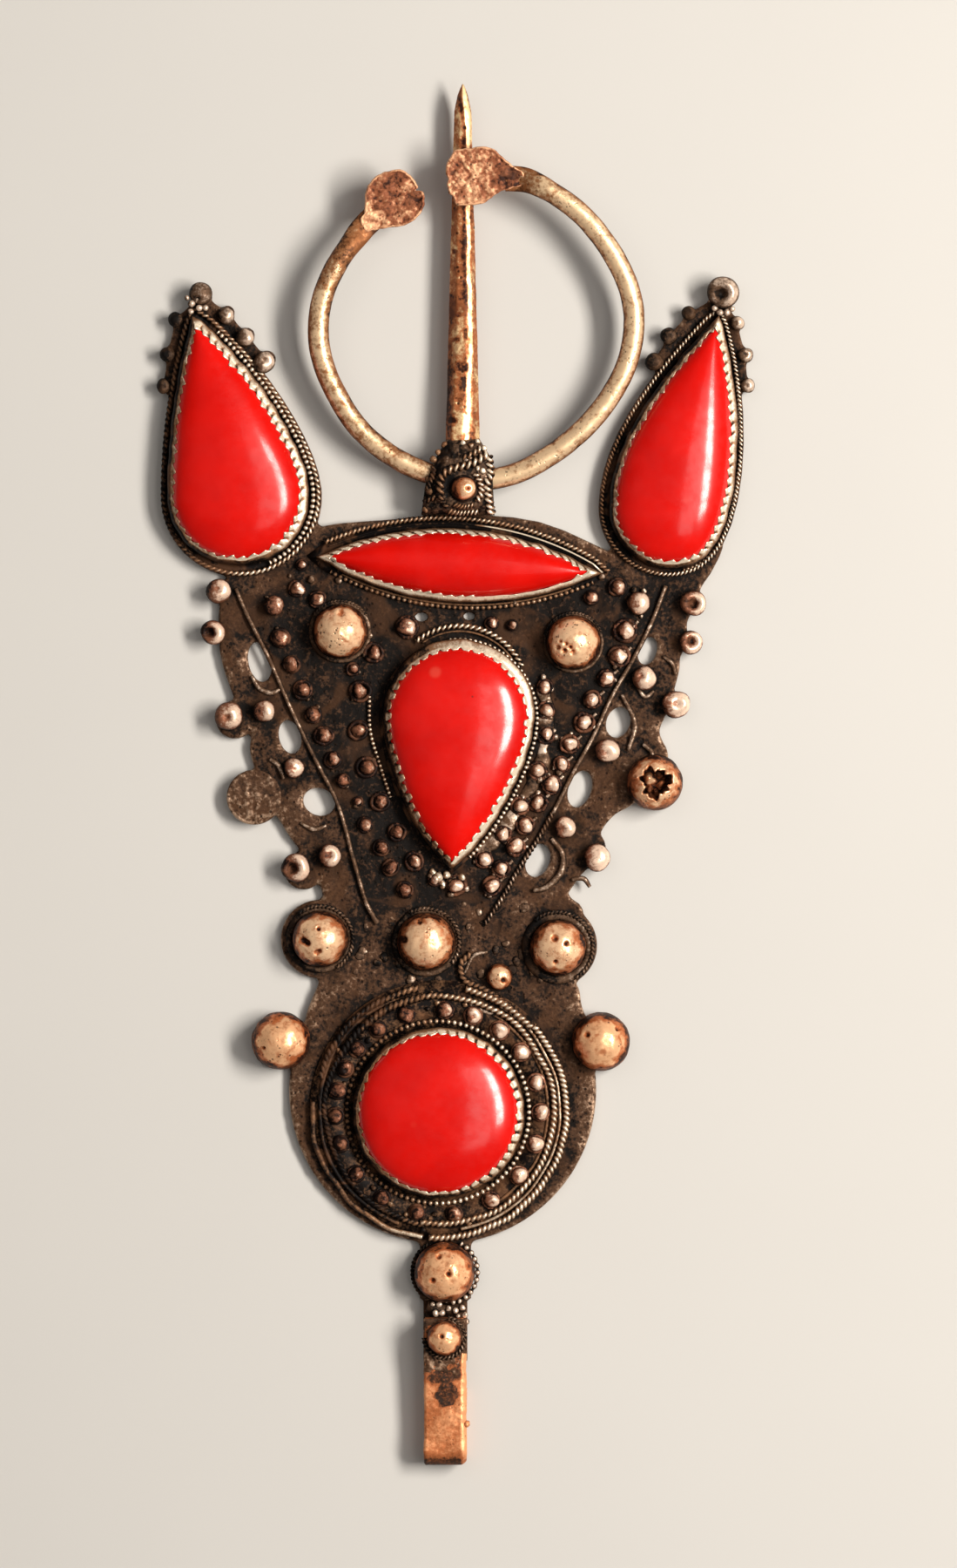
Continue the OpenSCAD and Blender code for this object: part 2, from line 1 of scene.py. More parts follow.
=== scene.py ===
# Berber fibula brooch: a pierced silver plate with red stones, a fixed pin and an open ring.
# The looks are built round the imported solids. Sizes are written in millimetres and made metres by toMetres.
import bmesh
import bpy
import numpy as np
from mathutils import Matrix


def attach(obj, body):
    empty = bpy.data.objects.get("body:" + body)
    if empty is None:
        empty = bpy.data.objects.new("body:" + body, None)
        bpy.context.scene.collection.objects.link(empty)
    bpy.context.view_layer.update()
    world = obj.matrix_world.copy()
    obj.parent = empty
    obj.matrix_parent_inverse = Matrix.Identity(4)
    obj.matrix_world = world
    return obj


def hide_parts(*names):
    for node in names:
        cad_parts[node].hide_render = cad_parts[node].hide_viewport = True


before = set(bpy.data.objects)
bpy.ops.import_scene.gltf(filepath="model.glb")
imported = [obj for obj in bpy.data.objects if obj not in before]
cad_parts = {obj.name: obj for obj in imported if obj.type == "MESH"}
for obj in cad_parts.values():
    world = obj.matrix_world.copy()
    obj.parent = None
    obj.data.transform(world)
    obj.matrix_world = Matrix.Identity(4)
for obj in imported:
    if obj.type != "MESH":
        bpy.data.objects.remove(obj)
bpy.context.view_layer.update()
toMetres = 0.001
chance = np.random.default_rng(11)
turn = 2 * np.pi

# Heights shared with the solids
level = {
    "plate": 1.2,        # top of the plate
    "settingFloor": 1.5,
    "lip": 3.05,         # underside of the lip, where a stone's dome starts
    "domeRise": 2.6,
}

print("stage: shared tools")


class Shape:
    # collects grids of points in millimetres into one mesh, each point with its wear,
    # from 0 in a dirty recess to 1 on a rubbed edge. Painted light and shade are mixed into the same value:
    # more where a part faces the light on the right, less where it faces away

    def __init__(self):
        self.points, self.wear, self.quads, self.tris, self.count = [], [], [], [], 0

    def grid(self, points, wear=0.5, wrapRows=False, wrapCols=True, capFirst=False, capLast=False):
        rows, cols = points.shape[:2]
        index = self.count + np.arange(rows * cols).reshape(rows, cols)
        a = np.vstack([index, index[:1]]) if wrapRows else index
        a = np.hstack([a, a[:, :1]]) if wrapCols else a
        quads = np.stack([a[:-1, :-1], a[:-1, 1:], a[1:, 1:], a[1:, :-1]], -1)
        self.quads.append(quads.reshape(-1, 4))
        self.points.append(points.reshape(-1, 3))
        wear = np.broadcast_to(np.asarray(wear, float), (rows, cols))
        self.wear.append(wear.reshape(-1))
        self.count += rows * cols
        for wanted, row in ((capFirst, 0), (capLast, rows - 1)):
            if wanted:
                ring = index[row]
                middle = np.full(cols, self.count)
                after = np.roll(ring, -1)
                fan = [middle, after, ring] if row == 0 else [middle, ring, after]
                self.tris.append(np.stack(fan, -1))
                self.points.append(points[row].mean(0)[None])
                self.wear.append(np.array([wear[row].mean()]))
                self.count += 1
        return self

    def make(self, name, body, slot, finish, *nodes):
        points = np.vstack(self.points) * toMetres
        quads = np.vstack(self.quads) if self.quads else np.zeros((0, 4), int)
        tris = np.vstack(self.tris) if self.tris else np.zeros((0, 3), int)
        mesh = bpy.data.meshes.new(name)
        mesh.vertices.add(len(points))
        mesh.vertices.foreach_set("co", points.ravel())
        mesh.loops.add(quads.size + tris.size)
        mesh.loops.foreach_set("vertex_index", np.concatenate([quads.ravel(), tris.ravel()]))
        mesh.polygons.add(len(quads) + len(tris))
        sizes = np.concatenate([np.full(len(quads), 4), np.full(len(tris), 3)])
        mesh.polygons.foreach_set("loop_start", np.concatenate([[0], np.cumsum(sizes)[:-1]]))
        mesh.polygons.foreach_set("use_smooth", np.ones(len(sizes), bool))
        mesh.update(calc_edges=True)
        addWear(mesh, np.concatenate(self.wear))
        turned = bmesh.new()  # every closed part faces outwards, whichever way its grid was laid
        turned.from_mesh(mesh)
        bmesh.ops.recalc_face_normals(turned, faces=turned.faces)
        turned.to_mesh(mesh)
        turned.free()
        # a piece that stands for a solid of the same name gets a name of its own
        title = name + "_look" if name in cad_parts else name
        return dress(bpy.data.objects.new(title, mesh), body, slot, finish, *nodes)


def addWear(mesh, values):
    wear = mesh.attributes.new("wear", "FLOAT", "POINT")
    wear.data.foreach_set("value", np.clip(values, 0, 1).astype(np.float32))


def dress(piece, body, slot, finish, *nodes):
    if piece.name not in bpy.context.scene.collection.objects:
        bpy.context.scene.collection.objects.link(piece)
    piece.data.materials.clear()
    piece.data.materials.append(finish)
    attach(piece, body)
    if nodes:
        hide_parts(*nodes)
    return piece


def smoothstep(x, low, high):
    t = np.clip((x - low) / (high - low), 0, 1)
    return t * t * (3 - 2 * t)


# Smooth noise: the mean of sine waves in seeded random directions, about -1 to 1, with ripples of that size
def ripple(points, size, seed, waves=14):
    dice = np.random.default_rng(seed)
    heading = dice.normal(size=(waves, points.shape[-1]))
    heading *= (turn / size * dice.uniform(0.6, 1.4, waves) / np.linalg.norm(heading, axis=1))[:, None]
    return np.sin(points @ heading.T + dice.uniform(0, turn, waves)).sum(-1) / np.sqrt(waves) * 0.9


# A sum of ripples: one for each size and depth, with seeds that follow on
def layered(points, seed, *layers):
    return sum(ripple(points, size, seed + k) * depth for k, (size, depth) in enumerate(layers))


# Vectors divided by their lengths
def unitOf(vectors):
    return vectors / np.linalg.norm(vectors, axis=-1)[..., None]


# Distance along a line to each of its points
def running(line):
    return np.concatenate([[0], np.cumsum(np.linalg.norm(np.diff(line, axis=0), axis=1))])


# Angles at equal steps round a full circle
def circle(sides):
    return np.arange(sides) * turn / sides


# A radius turned to angles in degrees
def polar(radius, degrees):
    return radius * np.stack([np.cos(np.radians(degrees)), np.sin(np.radians(degrees))], -1)


# Points at equal distances along a line, by linear interpolation on its running length
def evenly(path, step, closed=False):
    path = np.asarray(path, float)
    line = np.vstack([path, path[:1]]) if closed else path
    run = running(line)
    count = max(4, int(round(run[-1] / step)))
    at = np.linspace(0, run[-1], count + 1)[: count if closed else count + 1]
    return np.stack([np.interp(at, run, line[:, k]) for k in range(line.shape[1])], -1)


# Closed or open Catmull-Rom curve through given points
def through(points, steps=8, closed=False):
    p = np.asarray(points, float)
    if not closed:
        p = np.vstack([2 * p[0] - p[1], p, 2 * p[-1] - p[-2]])
    t = np.linspace(0, 1, steps, endpoint=False)[:, None, None]
    a, b, c, d = (np.roll(p, k, axis=0)[None] for k in (1, 0, -1, -2))
    q = b + 0.5 * t * ((c - a) + t * ((2 * a - 5 * b + 4 * c - d) + t * (3 * b - a - 3 * c + d)))
    q = q.transpose(1, 0, 2)
    if closed:
        return q.reshape(-1, p.shape[1])
    return np.vstack([q[1:-2].reshape(-1, p.shape[1]), p[-2:-1]])


# A level line with a height, which is a number or one for each point
def raised(line, height):
    return np.concatenate([line, np.broadcast_to(np.reshape(height, (-1, 1)), (len(line), 1))], 1)


# Points along a level arc, from one angle in degrees to another
def arcPath(centre, radius, start, stop, height, step=0.1):
    count = max(6, int(abs(np.radians(stop - start)) * radius / step))
    return raised(np.array(centre) + polar(radius, np.linspace(start, stop, count)), height)


# Running length, unit heading, side (to the right of the heading, level) and up at each point of a line
def bearings(path, closed=False):
    ahead = np.roll(path, -1, 0) - np.roll(path, 1, 0)
    if not closed:
        ahead[0], ahead[-1] = path[1] - path[0], path[-1] - path[-2]
    ahead = unitOf(ahead)
    side = np.cross(ahead, [0, 0, 1.0])
    side /= np.linalg.norm(side, axis=1)[:, None] + 1e-12
    return running(path), ahead, side, np.cross(side, ahead)


# A tube along a line: centre + across * cos(v) * side + rise * sin(v) * up, with v round the section.
# offset moves the centre along side and up
def tube(shape, path, across, rise=None, sides=10, closed=False, wear=0.6, offset=None):
    ahead, side, up = bearings(path, closed)[1:]
    v = -circle(sides)
    across = np.broadcast_to(np.asarray(across, float), (len(path),))[:, None, None]
    rise = across if rise is None else np.broadcast_to(np.asarray(rise, float), (len(path),))[:, None, None]
    middle = path if offset is None else path + offset[:, :1] * side + offset[:, 1:] * up
    sideways = across * np.cos(v)[None, :, None] * side[:, None]
    upwards = rise * np.sin(v)[None, :, None] * up[:, None]
    lift = 0.5 + 0.5 * np.sin(v)
    wear = np.asarray(wear, float)
    # the wear is paler along the top of the section and darker down its sides, partly as rubbed metal and
    # patina, partly as a painted highlight and painted shade
    worn = (wear[:, None] if wear.ndim else wear) * (0.05 + 0.95 * smoothstep(lift, 0.5, 0.97))[None, :]
    shape.grid(middle[:, None] + sideways + upwards, worn, wrapRows=closed, capFirst=not closed,
               capLast=not closed)


# A line at even steps, the phase of a pattern that repeats a whole number of times along it, and its wear
def patterned(path, pitch, steps, closed, wear):
    path = evenly(path, pitch / steps, closed)
    run = running(path)
    length = run[-1] + (np.linalg.norm(path[-1] - path[0]) if closed else 0)
    turns = max(1, round(length / pitch)) / length * turn
    return path, run * turns, wear(path) if callable(wear) else wear


# Twisted wire: each strand's middle goes round the line once a pitch. wear is a number or a function of the
# line, and fill, from 0 to 1, presses the strands together
def rope(shape, path, radius, pitch, closed=False, strands=2, sides=7, wear=0.75, fill=0.0):
    path, twist, wear = patterned(path, pitch, 11, closed, wear)
    for k in range(strands):
        phase = twist + k * turn / strands
        offset = np.stack([np.cos(phase), np.sin(phase)], -1) * radius * (0.46 - 0.24 * fill)
        # each strand is paler on its upper side, partly as rubbed metal, partly as a painted highlight
        upper = smoothstep(np.sin(phase), -0.4, 0.9)
        tube(shape, path, radius * (0.56 + 0.2 * fill), sides=sides, closed=closed, offset=offset,
             wear=wear * (0.1 + 0.25 * fill + (0.9 - 0.25 * fill) * upper))


# Beaded wire: a tube whose radius swells once a pitch
def beads(shape, path, radius, pitch, closed=False, sides=8, wear=0.75, depth=0.75):
    path, phase, wear = patterned(path, pitch, 8, closed, wear)
    swell = np.sqrt(np.clip(1 - depth * (0.5 - 0.5 * np.cos(phase)), 0.05, 1))
    tube(shape, path, radius * swell, sides=sides, closed=closed, wear=wear * smoothstep(swell, 0.55, 0.95))


# A wire along a line by its kind: plain, twisted or beaded
def wire(shape, kind, path, radius, pitch, wear, fill=0.0, closed=False):
    if kind == "rope":
        rope(shape, path, radius, pitch, closed, wear=wear, fill=fill)
    elif kind == "beads":
        beads(shape, path, radius, pitch, closed, wear=wear)
    else:
        tube(shape, path, radius, closed=closed, wear=wear(path) if callable(wear) else wear)


# A lump: a squashed ball whose skin is moved in and out by smooth noise, with a dent [x, y, radius, depth]
# of its own
def lump(shape, at, radius, height, seed, wear, sides=14, rings=9, dent=(0, 0, 0, 0), squash=0.9, rough=0.07,
         paintedLight=0.4):
    a = np.linspace(-np.pi / 2 * 0.9, np.pi / 2 * 0.96, rings)[:, None]
    v = circle(sides)
    out = np.stack([np.cos(a) * np.cos(v), np.cos(a) * np.sin(v), np.sin(a) * np.ones(sides)], -1)
    size = radius * (1 + ripple(out, 1.7, seed) * rough)
    far = np.hypot(out[..., 0] - dent[0], out[..., 1] - dent[1]) / max(dent[2], 1e-3)
    hollow = np.exp(-far ** 2 * 1.4) * dent[3] * (out[..., 2] > 0)
    points = out * size[..., None] * [1, 1, squash]
    points[..., 2] -= hollow * radius
    # the wear falls off towards the bottom, and painted light makes the side that faces the light on the
    # right paler
    worn = wear * smoothstep(out[..., 2], -0.1, 0.75) * (1 + paintedLight * out[..., 0]) - hollow * 1.3
    shape.grid(points + [*at, height], worn, capFirst=True, capLast=True)


# A granule: a small wire ring that lies on the plate, with a ball on it
def ringed(shape, at, radius, seed, wear, ball):
    line = roundOutline(at, radius, radius * 0.25)
    uneven = ripple(raised(line, 0), 1.5, seed)[:, None] * [0.05, 0.05, 0.02]
    line = raised(line, level["plate"] + 0.2) + uneven
    tube(shape, line, radius * 0.24, 0.26, 8, closed=True, wear=wear * 0.28)
    lump(shape, at, radius * ball, level["plate"] + 0.45, seed + 7, wear, 20, 13, squash=0.95, rough=0.2,
         paintedLight=0.9)


# A surface of revolution: how far out and how high by rows, and angles round the centre
def revolved(centre, across, height, angles):
    rows = len(across)
    across = np.reshape(across, (rows, -1))
    x = centre[0] + across * np.cos(angles)
    y = centre[1] + across * np.sin(angles)
    return np.stack([x, y, np.broadcast_to(np.reshape(height, (rows, -1)), x.shape)], -1)


print("stage: outlines of the stones")

# Pear-shaped stones: centre and radius of the round part, tip, then for each side the angle at which it
# meets the round part, the pull there, the heading at the tip and the pull there
pears = {
    "wing_left": {"centre": (-23.95, 30.6), "radius": 7.05, "tip": (-28.5, 49.1),
                  "away": (180, 6.4, 254.7, 6.1), "back": (365, 4.75, 320, 7.1)},
    "wing_right": {"centre": (23.35, 29.25), "radius": 6.1, "tip": (28.4, 49.1),
                   "away": (180, 6.05, 226.2, 9.7), "back": (290, 5.2, 286.3, 10.45)},
    "centre": {"centre": (0.2, 6.2), "radius": 7.7, "tip": (-0.5, -9.5),
               "away": (-8, 4.3, 40, 5.7), "back": (188, 4.3, 140, 5.7)},
}
lensStone = {"centre": (0.2, 22.95), "length": 14.4, "height": 3.5, "turn": -3.3}
roundStone = {"centre": (-2.0, -36.8), "radius": 8.75}


def bezier(a, b, c, d, count=40):
    t = np.linspace(0, 1, count)[:, None]
    u = 1 - t
    return u ** 3 * a + 3 * u * u * t * b + 3 * u * t * t * c + t ** 3 * d


# Pear outline, counter-clockwise from the tip: a curve to the round part, an arc, and a curve back
def pearOutline(p, step=0.1):
    centre, tip = np.array(p["centre"]), np.array(p["tip"])
    away, back = p["away"], p["back"]
    arc = centre + polar(p["radius"], np.linspace(away[0], back[0], 90))
    first, last = arc[0], arc[-1]
    line = np.vstack([
        bezier(tip, tip + polar(away[3], away[2]), first - polar(away[1], away[0] + 90), first)[:-1],
        arc[:-1],
        bezier(last, last + polar(back[1], back[0] + 90), tip + polar(back[3], back[2]), tip)[:-1],
    ])
    return evenly(line, step, closed=True)


# Lens outline: two equal arcs through the tips, turned about the centre
def lensOutline(p, step=0.1):
    l, h = p["length"], p["height"]
    r = (l * l + h * h) / (2 * h)
    a = np.linspace(-np.arcsin(l / r), np.arcsin(l / r), 80)[:-1]
    lower = np.stack([r * np.sin(a), -r * np.cos(a) + r - h], -1)
    line = np.vstack([lower, -lower])
    c, s = np.cos(np.radians(p["turn"])), np.sin(np.radians(p["turn"]))
    return evenly(line @ np.array([[c, s], [-s, c]]) + p["centre"], step, closed=True)


def roundOutline(centre, radius, step=0.1):
    a = circle(int(turn * radius / step))
    return np.array(centre) + radius * np.stack([np.cos(a), np.sin(a)], -1)


# Outward normals of a closed counter-clockwise line, longer at its corners so that an offset keeps its
# width
def normals(outline, limit=2.3):
    before = outline - np.roll(outline, 1, 0)
    after = np.roll(outline, -1, 0) - outline
    before, after = (unitOf(np.stack([v[:, 1], -v[:, 0]], -1)) for v in (before, after))
    middle = unitOf(before + after)
    return middle * np.minimum(limit, 1 / np.maximum(0.1, (middle * after).sum(1)))[:, None]


def grow(outline, distance, limit=2.3):
    return outline + normals(outline, limit) * np.reshape(distance, (-1, 1))

outlines = {name: pearOutline(p) for name, p in pears.items()}
outlines["top"] = lensOutline(lensStone)
outlines["round"] = roundOutline(roundStone["centre"], roundStone["radius"])
peaks = {name: np.array(p["centre"]) for name, p in pears.items()}
peaks["top"] = np.array(lensStone["centre"])
peaks["round"] = np.array(roundStone["centre"])

print("stage: finishes")


class Value:
    # wraps one output socket, so that masks are written as sums and products
    def __init__(self, paint, socket):
        self.paint, self.socket = paint, socket

    def math(self, operation, other):
        return self.paint.node("ShaderNodeMath", {"operation": operation}, {0: self, 1: other})

    def flipped(self, operation, other):
        return self.paint.node("ShaderNodeMath", {"operation": operation}, {0: other, 1: self})

    def __add__(self, other):
        return self.math("ADD", other)

    def __sub__(self, other):
        return self.math("SUBTRACT", other)

    def __rsub__(self, other):
        return self.flipped("SUBTRACT", other)

    def __mul__(self, other):
        return self.math("MULTIPLY", other)

    __radd__, __rmul__ = __add__, __mul__

    def within(self, low, high):  # 0 below low, 1 above high, smooth between
        return self.paint.node("ShaderNodeMapRange", {"interpolation_type": "SMOOTHSTEP"},
                               {"Value": self, "From Min": low, "From Max": high})


class Paint:
    def __init__(self, name):
        self.material = bpy.data.materials.new(name)
        self.material.use_nodes = True
        self.tree = self.material.node_tree
        self.surface = next(n for n in self.tree.nodes if n.type == "BSDF_PRINCIPLED")
        self.place = self.node("ShaderNodeTexCoord", {}, {}, "Object")

    def node(self, kind, settings, inputs, output=0):
        made = self.tree.nodes.new(kind)
        for key, value in settings.items():
            setattr(made, key, value)
        for key, value in inputs.items():
            if isinstance(value, Value):
                self.tree.links.new(value.socket, made.inputs[key])
            else:
                made.inputs[key].default_value = value
        return Value(self, made.outputs[output])

    def noise(self, size, detail=4.0, rough=0.55, warp=0.0):  # size in millimetres
        return self.node("ShaderNodeTexNoise", {},
                         {"Vector": self.place, "Scale": 1 / (size * toMetres), "Detail": detail,
                          "Roughness": rough, "Distortion": warp}, "Fac")

    def cells(self, size):  # distance to the nearest of scattered points, in cells of that size
        return self.node("ShaderNodeTexVoronoi", {"feature": "F1"},
                         {"Vector": self.place, "Scale": 1 / (size * toMetres)}, "Distance")

    def wear(self):
        return self.node("ShaderNodeAttribute", {"attribute_name": "wear"}, {}, "Fac")

    def mix(self, share, first, second):
        made = self.tree.nodes.new("ShaderNodeMix")
        made.data_type = "RGBA"
        for key, value in ((0, share), (6, first), (7, second)):
            if isinstance(value, Value):
                self.tree.links.new(value.socket, made.inputs[key])
            else:
                made.inputs[key].default_value = (*value, 1) if key else value
        return Value(self, made.outputs[2])

    def bump(self, height, strength, depth):  # depth in millimetres
        return self.node("ShaderNodeBump", {},
                         {"Strength": strength, "Distance": depth * toMetres, "Height": height})

    def finish(self, fixed, **fed):
        for key, value in fixed.items():
            self.surface.inputs[key].default_value = value
        for key, value in fed.items():
            self.tree.links.new(value.socket, self.surface.inputs[key.replace("_", " ")])
        return self.material


# Old silver: dark in its recesses, brown between, pale where it is rubbed. The sum that picks the colours
# adds the wear given on the points, with its painted light and shade, and two noises about their middle
# values
def oldSilver(name, look):
    paint = Paint(name)
    patches = paint.noise(look["patch"], 5, 0.62, 0.5)
    grit = paint.noise(look["grit"], 3, 0.6)
    pits = paint.cells(look["pit"])
    mottle = (patches - 0.5) * look["patchShare"] + (grit - 0.5) * look["gritShare"]
    rubAndLight = paint.wear() * look["wearShare"] + mottle + look["base"]
    mid = paint.mix(rubAndLight.within(0.0, 0.45), look["dark"], look["middle"])
    stains = paint.noise(look["stain"], 3, 0.5, 0.8).within(0.5, 0.66) * look["stainShare"]
    stained = paint.mix(stains, mid, look["stainColour"])
    colour = paint.mix(rubAndLight.within(0.4, 0.95), stained, look["bright"])
    pitted = paint.noise(look["pit"] * 3, 2).within(0.47, 0.6)
    pitMask = (1 - pits.within(0.12, 0.34)) * pitted * look["pitShare"]
    colour = paint.mix(pitMask, colour, look["dark"])
    spread = look["roughHigh"] - look["roughLow"]
    roughness = (1 - rubAndLight.within(0.1, 0.9)) * spread + look["roughLow"] + (grit - 0.5) * 0.2
    metal = rubAndLight.within(0.05, 0.6) * (look["metalHigh"] - look["metalLow"]) + look["metalLow"]
    height = patches * 0.6 + grit * 0.4 - pitMask * 0.8
    return paint.finish({"Specular IOR Level": 0.16}, Base_Color=colour, Roughness=roughness, Metallic=metal,
                        Normal=paint.bump(height, 0.8, look["relief"]))


# What each old silver is made of: four colours, the sizes of patches, grit, pits and stains in millimetres,
# what each has to say in the sum of wear and painted light, and the roughness, metal and relief
lookKeys = ("dark", "middle", "bright", "stainColour",
            "patch", "grit", "pit", "stain", "stainShare", "wearShare", "patchShare", "gritShare", "base",
            "pitShare", "roughLow", "roughHigh", "metalLow", "metalHigh", "relief")
silverRows = {
    "plate": ((0.005, 0.003, 0.002), (0.092, 0.044, 0.023), (0.46, 0.3, 0.2), (0.085, 0.035, 0.014),
              1.1, 0.4, 0.6, 5.0, 0.5, 0.9, 1.0, 1.25, -0.01, 0.8, 0.4, 0.75, 0.0, 0.5, 0.18),
    "bezel": ((0.004, 0.002, 0.0015), (0.26, 0.13, 0.065), (1.0, 0.84, 0.64), (0.3, 0.13, 0.06),
              1.2, 0.3, 0.35, 3.0, 0.3, 1.2, 0.9, 0.6, -0.12, 0.3, 0.3, 0.6, 0.1, 0.5, 0.05),
    "wire": ((0.003, 0.0018, 0.0013), (0.13, 0.072, 0.042), (0.8, 0.6, 0.46), (0.14, 0.065, 0.03),
             1.4, 0.3, 0.35, 4.0, 0.3, 1.05, 1.4, 1.0, -0.12, 0.3, 0.32, 0.65, 0.1, 0.5, 0.05),
    "grain": ((0.008, 0.003, 0.002), (0.26, 0.1, 0.055), (1.0, 0.72, 0.54), (0.3, 0.12, 0.06),
              0.9, 0.3, 0.35, 2.0, 0.4, 1.2, 1.3, 1.0, -0.18, 0.4, 0.3, 0.6, 0.1, 0.4, 0.05),
    "dome": ((0.02, 0.006, 0.003), (0.5, 0.16, 0.06), (1.0, 0.64, 0.38), (0.42, 0.14, 0.055),
             1.3, 0.4, 0.5, 2.2, 0.6, 0.9, 1.35, 0.8, -0.04, 0.8, 0.3, 0.55, 0.1, 0.42, 0.08),
    "ring": ((0.02, 0.006, 0.003), (0.36, 0.15, 0.06), (1.0, 0.7, 0.42), (0.34, 0.12, 0.04),
             1.6, 0.4, 0.45, 4.0, 0.6, 1.05, 1.3, 1.2, -0.1, 0.6, 0.34, 0.55, 0.2, 0.55, 0.06),
    "end": ((0.03, 0.009, 0.005), (0.31, 0.1, 0.045), (0.9, 0.49, 0.27), (0.34, 0.12, 0.055),
            1.3, 0.32, 0.45, 2.4, 0.5, 0.95, 1.35, 0.9, 0.0, 0.8, 0.5, 0.65, 0.0, 0.25, 0.1),
    "pin": ((0.03, 0.008, 0.004), (0.42, 0.135, 0.048), (1.0, 0.72, 0.38), (0.18, 0.05, 0.02),
            1.3, 0.4, 0.7, 2.6, 0.6, 0.95, 1.4, 0.9, 0.07, 0.9, 0.42, 0.55, 0.15, 0.5, 0.08),
    "strip": ((0.03, 0.015, 0.009), (0.46, 0.14, 0.048), (0.84, 0.37, 0.17), (0.4, 0.12, 0.045),
              2.2, 0.36, 0.4, 3.5, 0.12, 0.95, 0.35, 0.9, 0.04, 0.4, 0.4, 0.6, 0.1, 0.35, 0.06),
}
silverLooks = {name: dict(zip(lookKeys, row)) for name, row in silverRows.items()}
# the lower domes, a redder copper than the upper ones
silverLooks["domeLow"] = {**silverLooks["dome"], "bright": (1.0, 0.55, 0.29), "middle": (0.5, 0.14, 0.045)}
silver = {name: oldSilver("old_silver_" + name, look) for name, look in silverLooks.items()}


# Opaque red stone: even deep red, faint lighter clouds, a few dark specks and pale scuffs
def redStone():
    paint = Paint("red_stone")
    clouds = paint.noise(5.0, 3, 0.5)
    specks = (1 - paint.cells(2.6).within(0.03, 0.07)) * paint.noise(7.0, 1).within(0.6, 0.68)
    scuffs = (1 - paint.cells(4.4).within(0.08, 0.2)) * paint.noise(9.0, 1).within(0.58, 0.66) * 0.3
    colour = paint.mix(clouds.within(0.3, 0.7), (0.58, 0.003, 0.001), (0.68, 0.005, 0.002))
    colour = paint.mix(specks, colour, (0.2, 0.01, 0.008))
    colour = paint.mix(scuffs, colour, (0.8, 0.13, 0.08))
    roughness = paint.noise(0.9, 4).within(0.35, 0.75) * 0.16 + 0.3
    shine = paint.noise(1.6, 4, 0.6).within(0.35, 0.65) * 0.55 + 0.45
    height = paint.noise(1.5, 3) + paint.noise(0.3, 2) * 0.4
    return paint.finish({"Coat Roughness": 0.15, "Specular IOR Level": 0.12},
                        Base_Color=colour, Roughness=roughness, Coat_Weight=shine * paint.wear(),
                        Normal=paint.bump(height, 0.3, 0.06))


stoneFinish = redStone()

print("stage: stones")

stoneForm = {"rings": 30, "out": 0.1, "fullness": 0.62}
# A stone's gloss, and from which y to which it is lost towards one end
glossEnds = {"wing_left": (0.7, 35.5, 39.5), "wing_right": (1.0, 39.0, 44.0), "centre": (1.0, 1.0, -5.0)}
crests = {}  # each stone's greatest soft distance from its outline


# Smooth distance of points from a closed outline: two over the sum, along the outline, of the outward
# normal's share of the reach divided by the reach cubed. It has no ridges, so a pear gets no crease from
# its tip
def softDistance(points, outline, block=1500):
    after = np.roll(outline, -1, 0) - outline
    outward = np.stack([after[:, 1], -after[:, 0]], -1)
    middle = outline + after / 2
    far = np.empty(len(points))
    for k in range(0, len(points), block):
        reach = middle[None] - points[k:k + block, None]
        total = ((reach * outward).sum(-1) / np.maximum((reach ** 2).sum(-1), 1e-4) ** 1.5).sum(1)
        far[k:k + block] = 2 / np.maximum(total, 1e-6)
    return far


# Cabochon: rings shrink from the outline to the peak, and rise with the soft distance over a short straight
# girdle
def cabochon(name, key):
    outline, peak = outlines[key][::2], peaks[key]
    shrink = np.cos(np.linspace(0.17, np.pi / 2 * 0.985, stoneForm["rings"]))
    edge = grow(outline, 0.02)
    flat = peak + (edge[None] - peak) * shrink[:, None, None]
    near = softDistance(flat.reshape(-1, 2), evenly(edge, 0.04, closed=True)).reshape(flat.shape[:2])
    crests[key] = near.max()
    lift = (near / crests[key]) ** stoneForm["fullness"]
    top = np.concatenate([flat, (level["lip"] + level["domeRise"] * lift)[..., None]], -1)
    foot = [raised(grow(outline, d), z) for d, z in
            ((stoneForm["out"], level["settingFloor"]), (stoneForm["out"], 2.75), (0.02, level["lip"] - 0.1))]
    points = np.concatenate([np.stack(foot), top])
    # the wear of a stone is its gloss, which is lost towards the lens's tips and one end of each pear
    gloss = np.ones(points.shape[:-1])
    if key == "top":
        gloss -= 0.9 * smoothstep(np.abs(points[..., 0] - peak[0]), 4, 8)
    if key in glossEnds:
        share, low, high = glossEnds[key]
        gloss = share * (1 - 0.85 * smoothstep(points[..., 1], low, high))
    shape = Shape().grid(points, gloss, capFirst=True, capLast=True)
    return shape.make(name, "brooch", "red_stone", stoneFinish, name)


for key in outlines:
    cabochon("stone_" + key, key)

print("stage: settings")
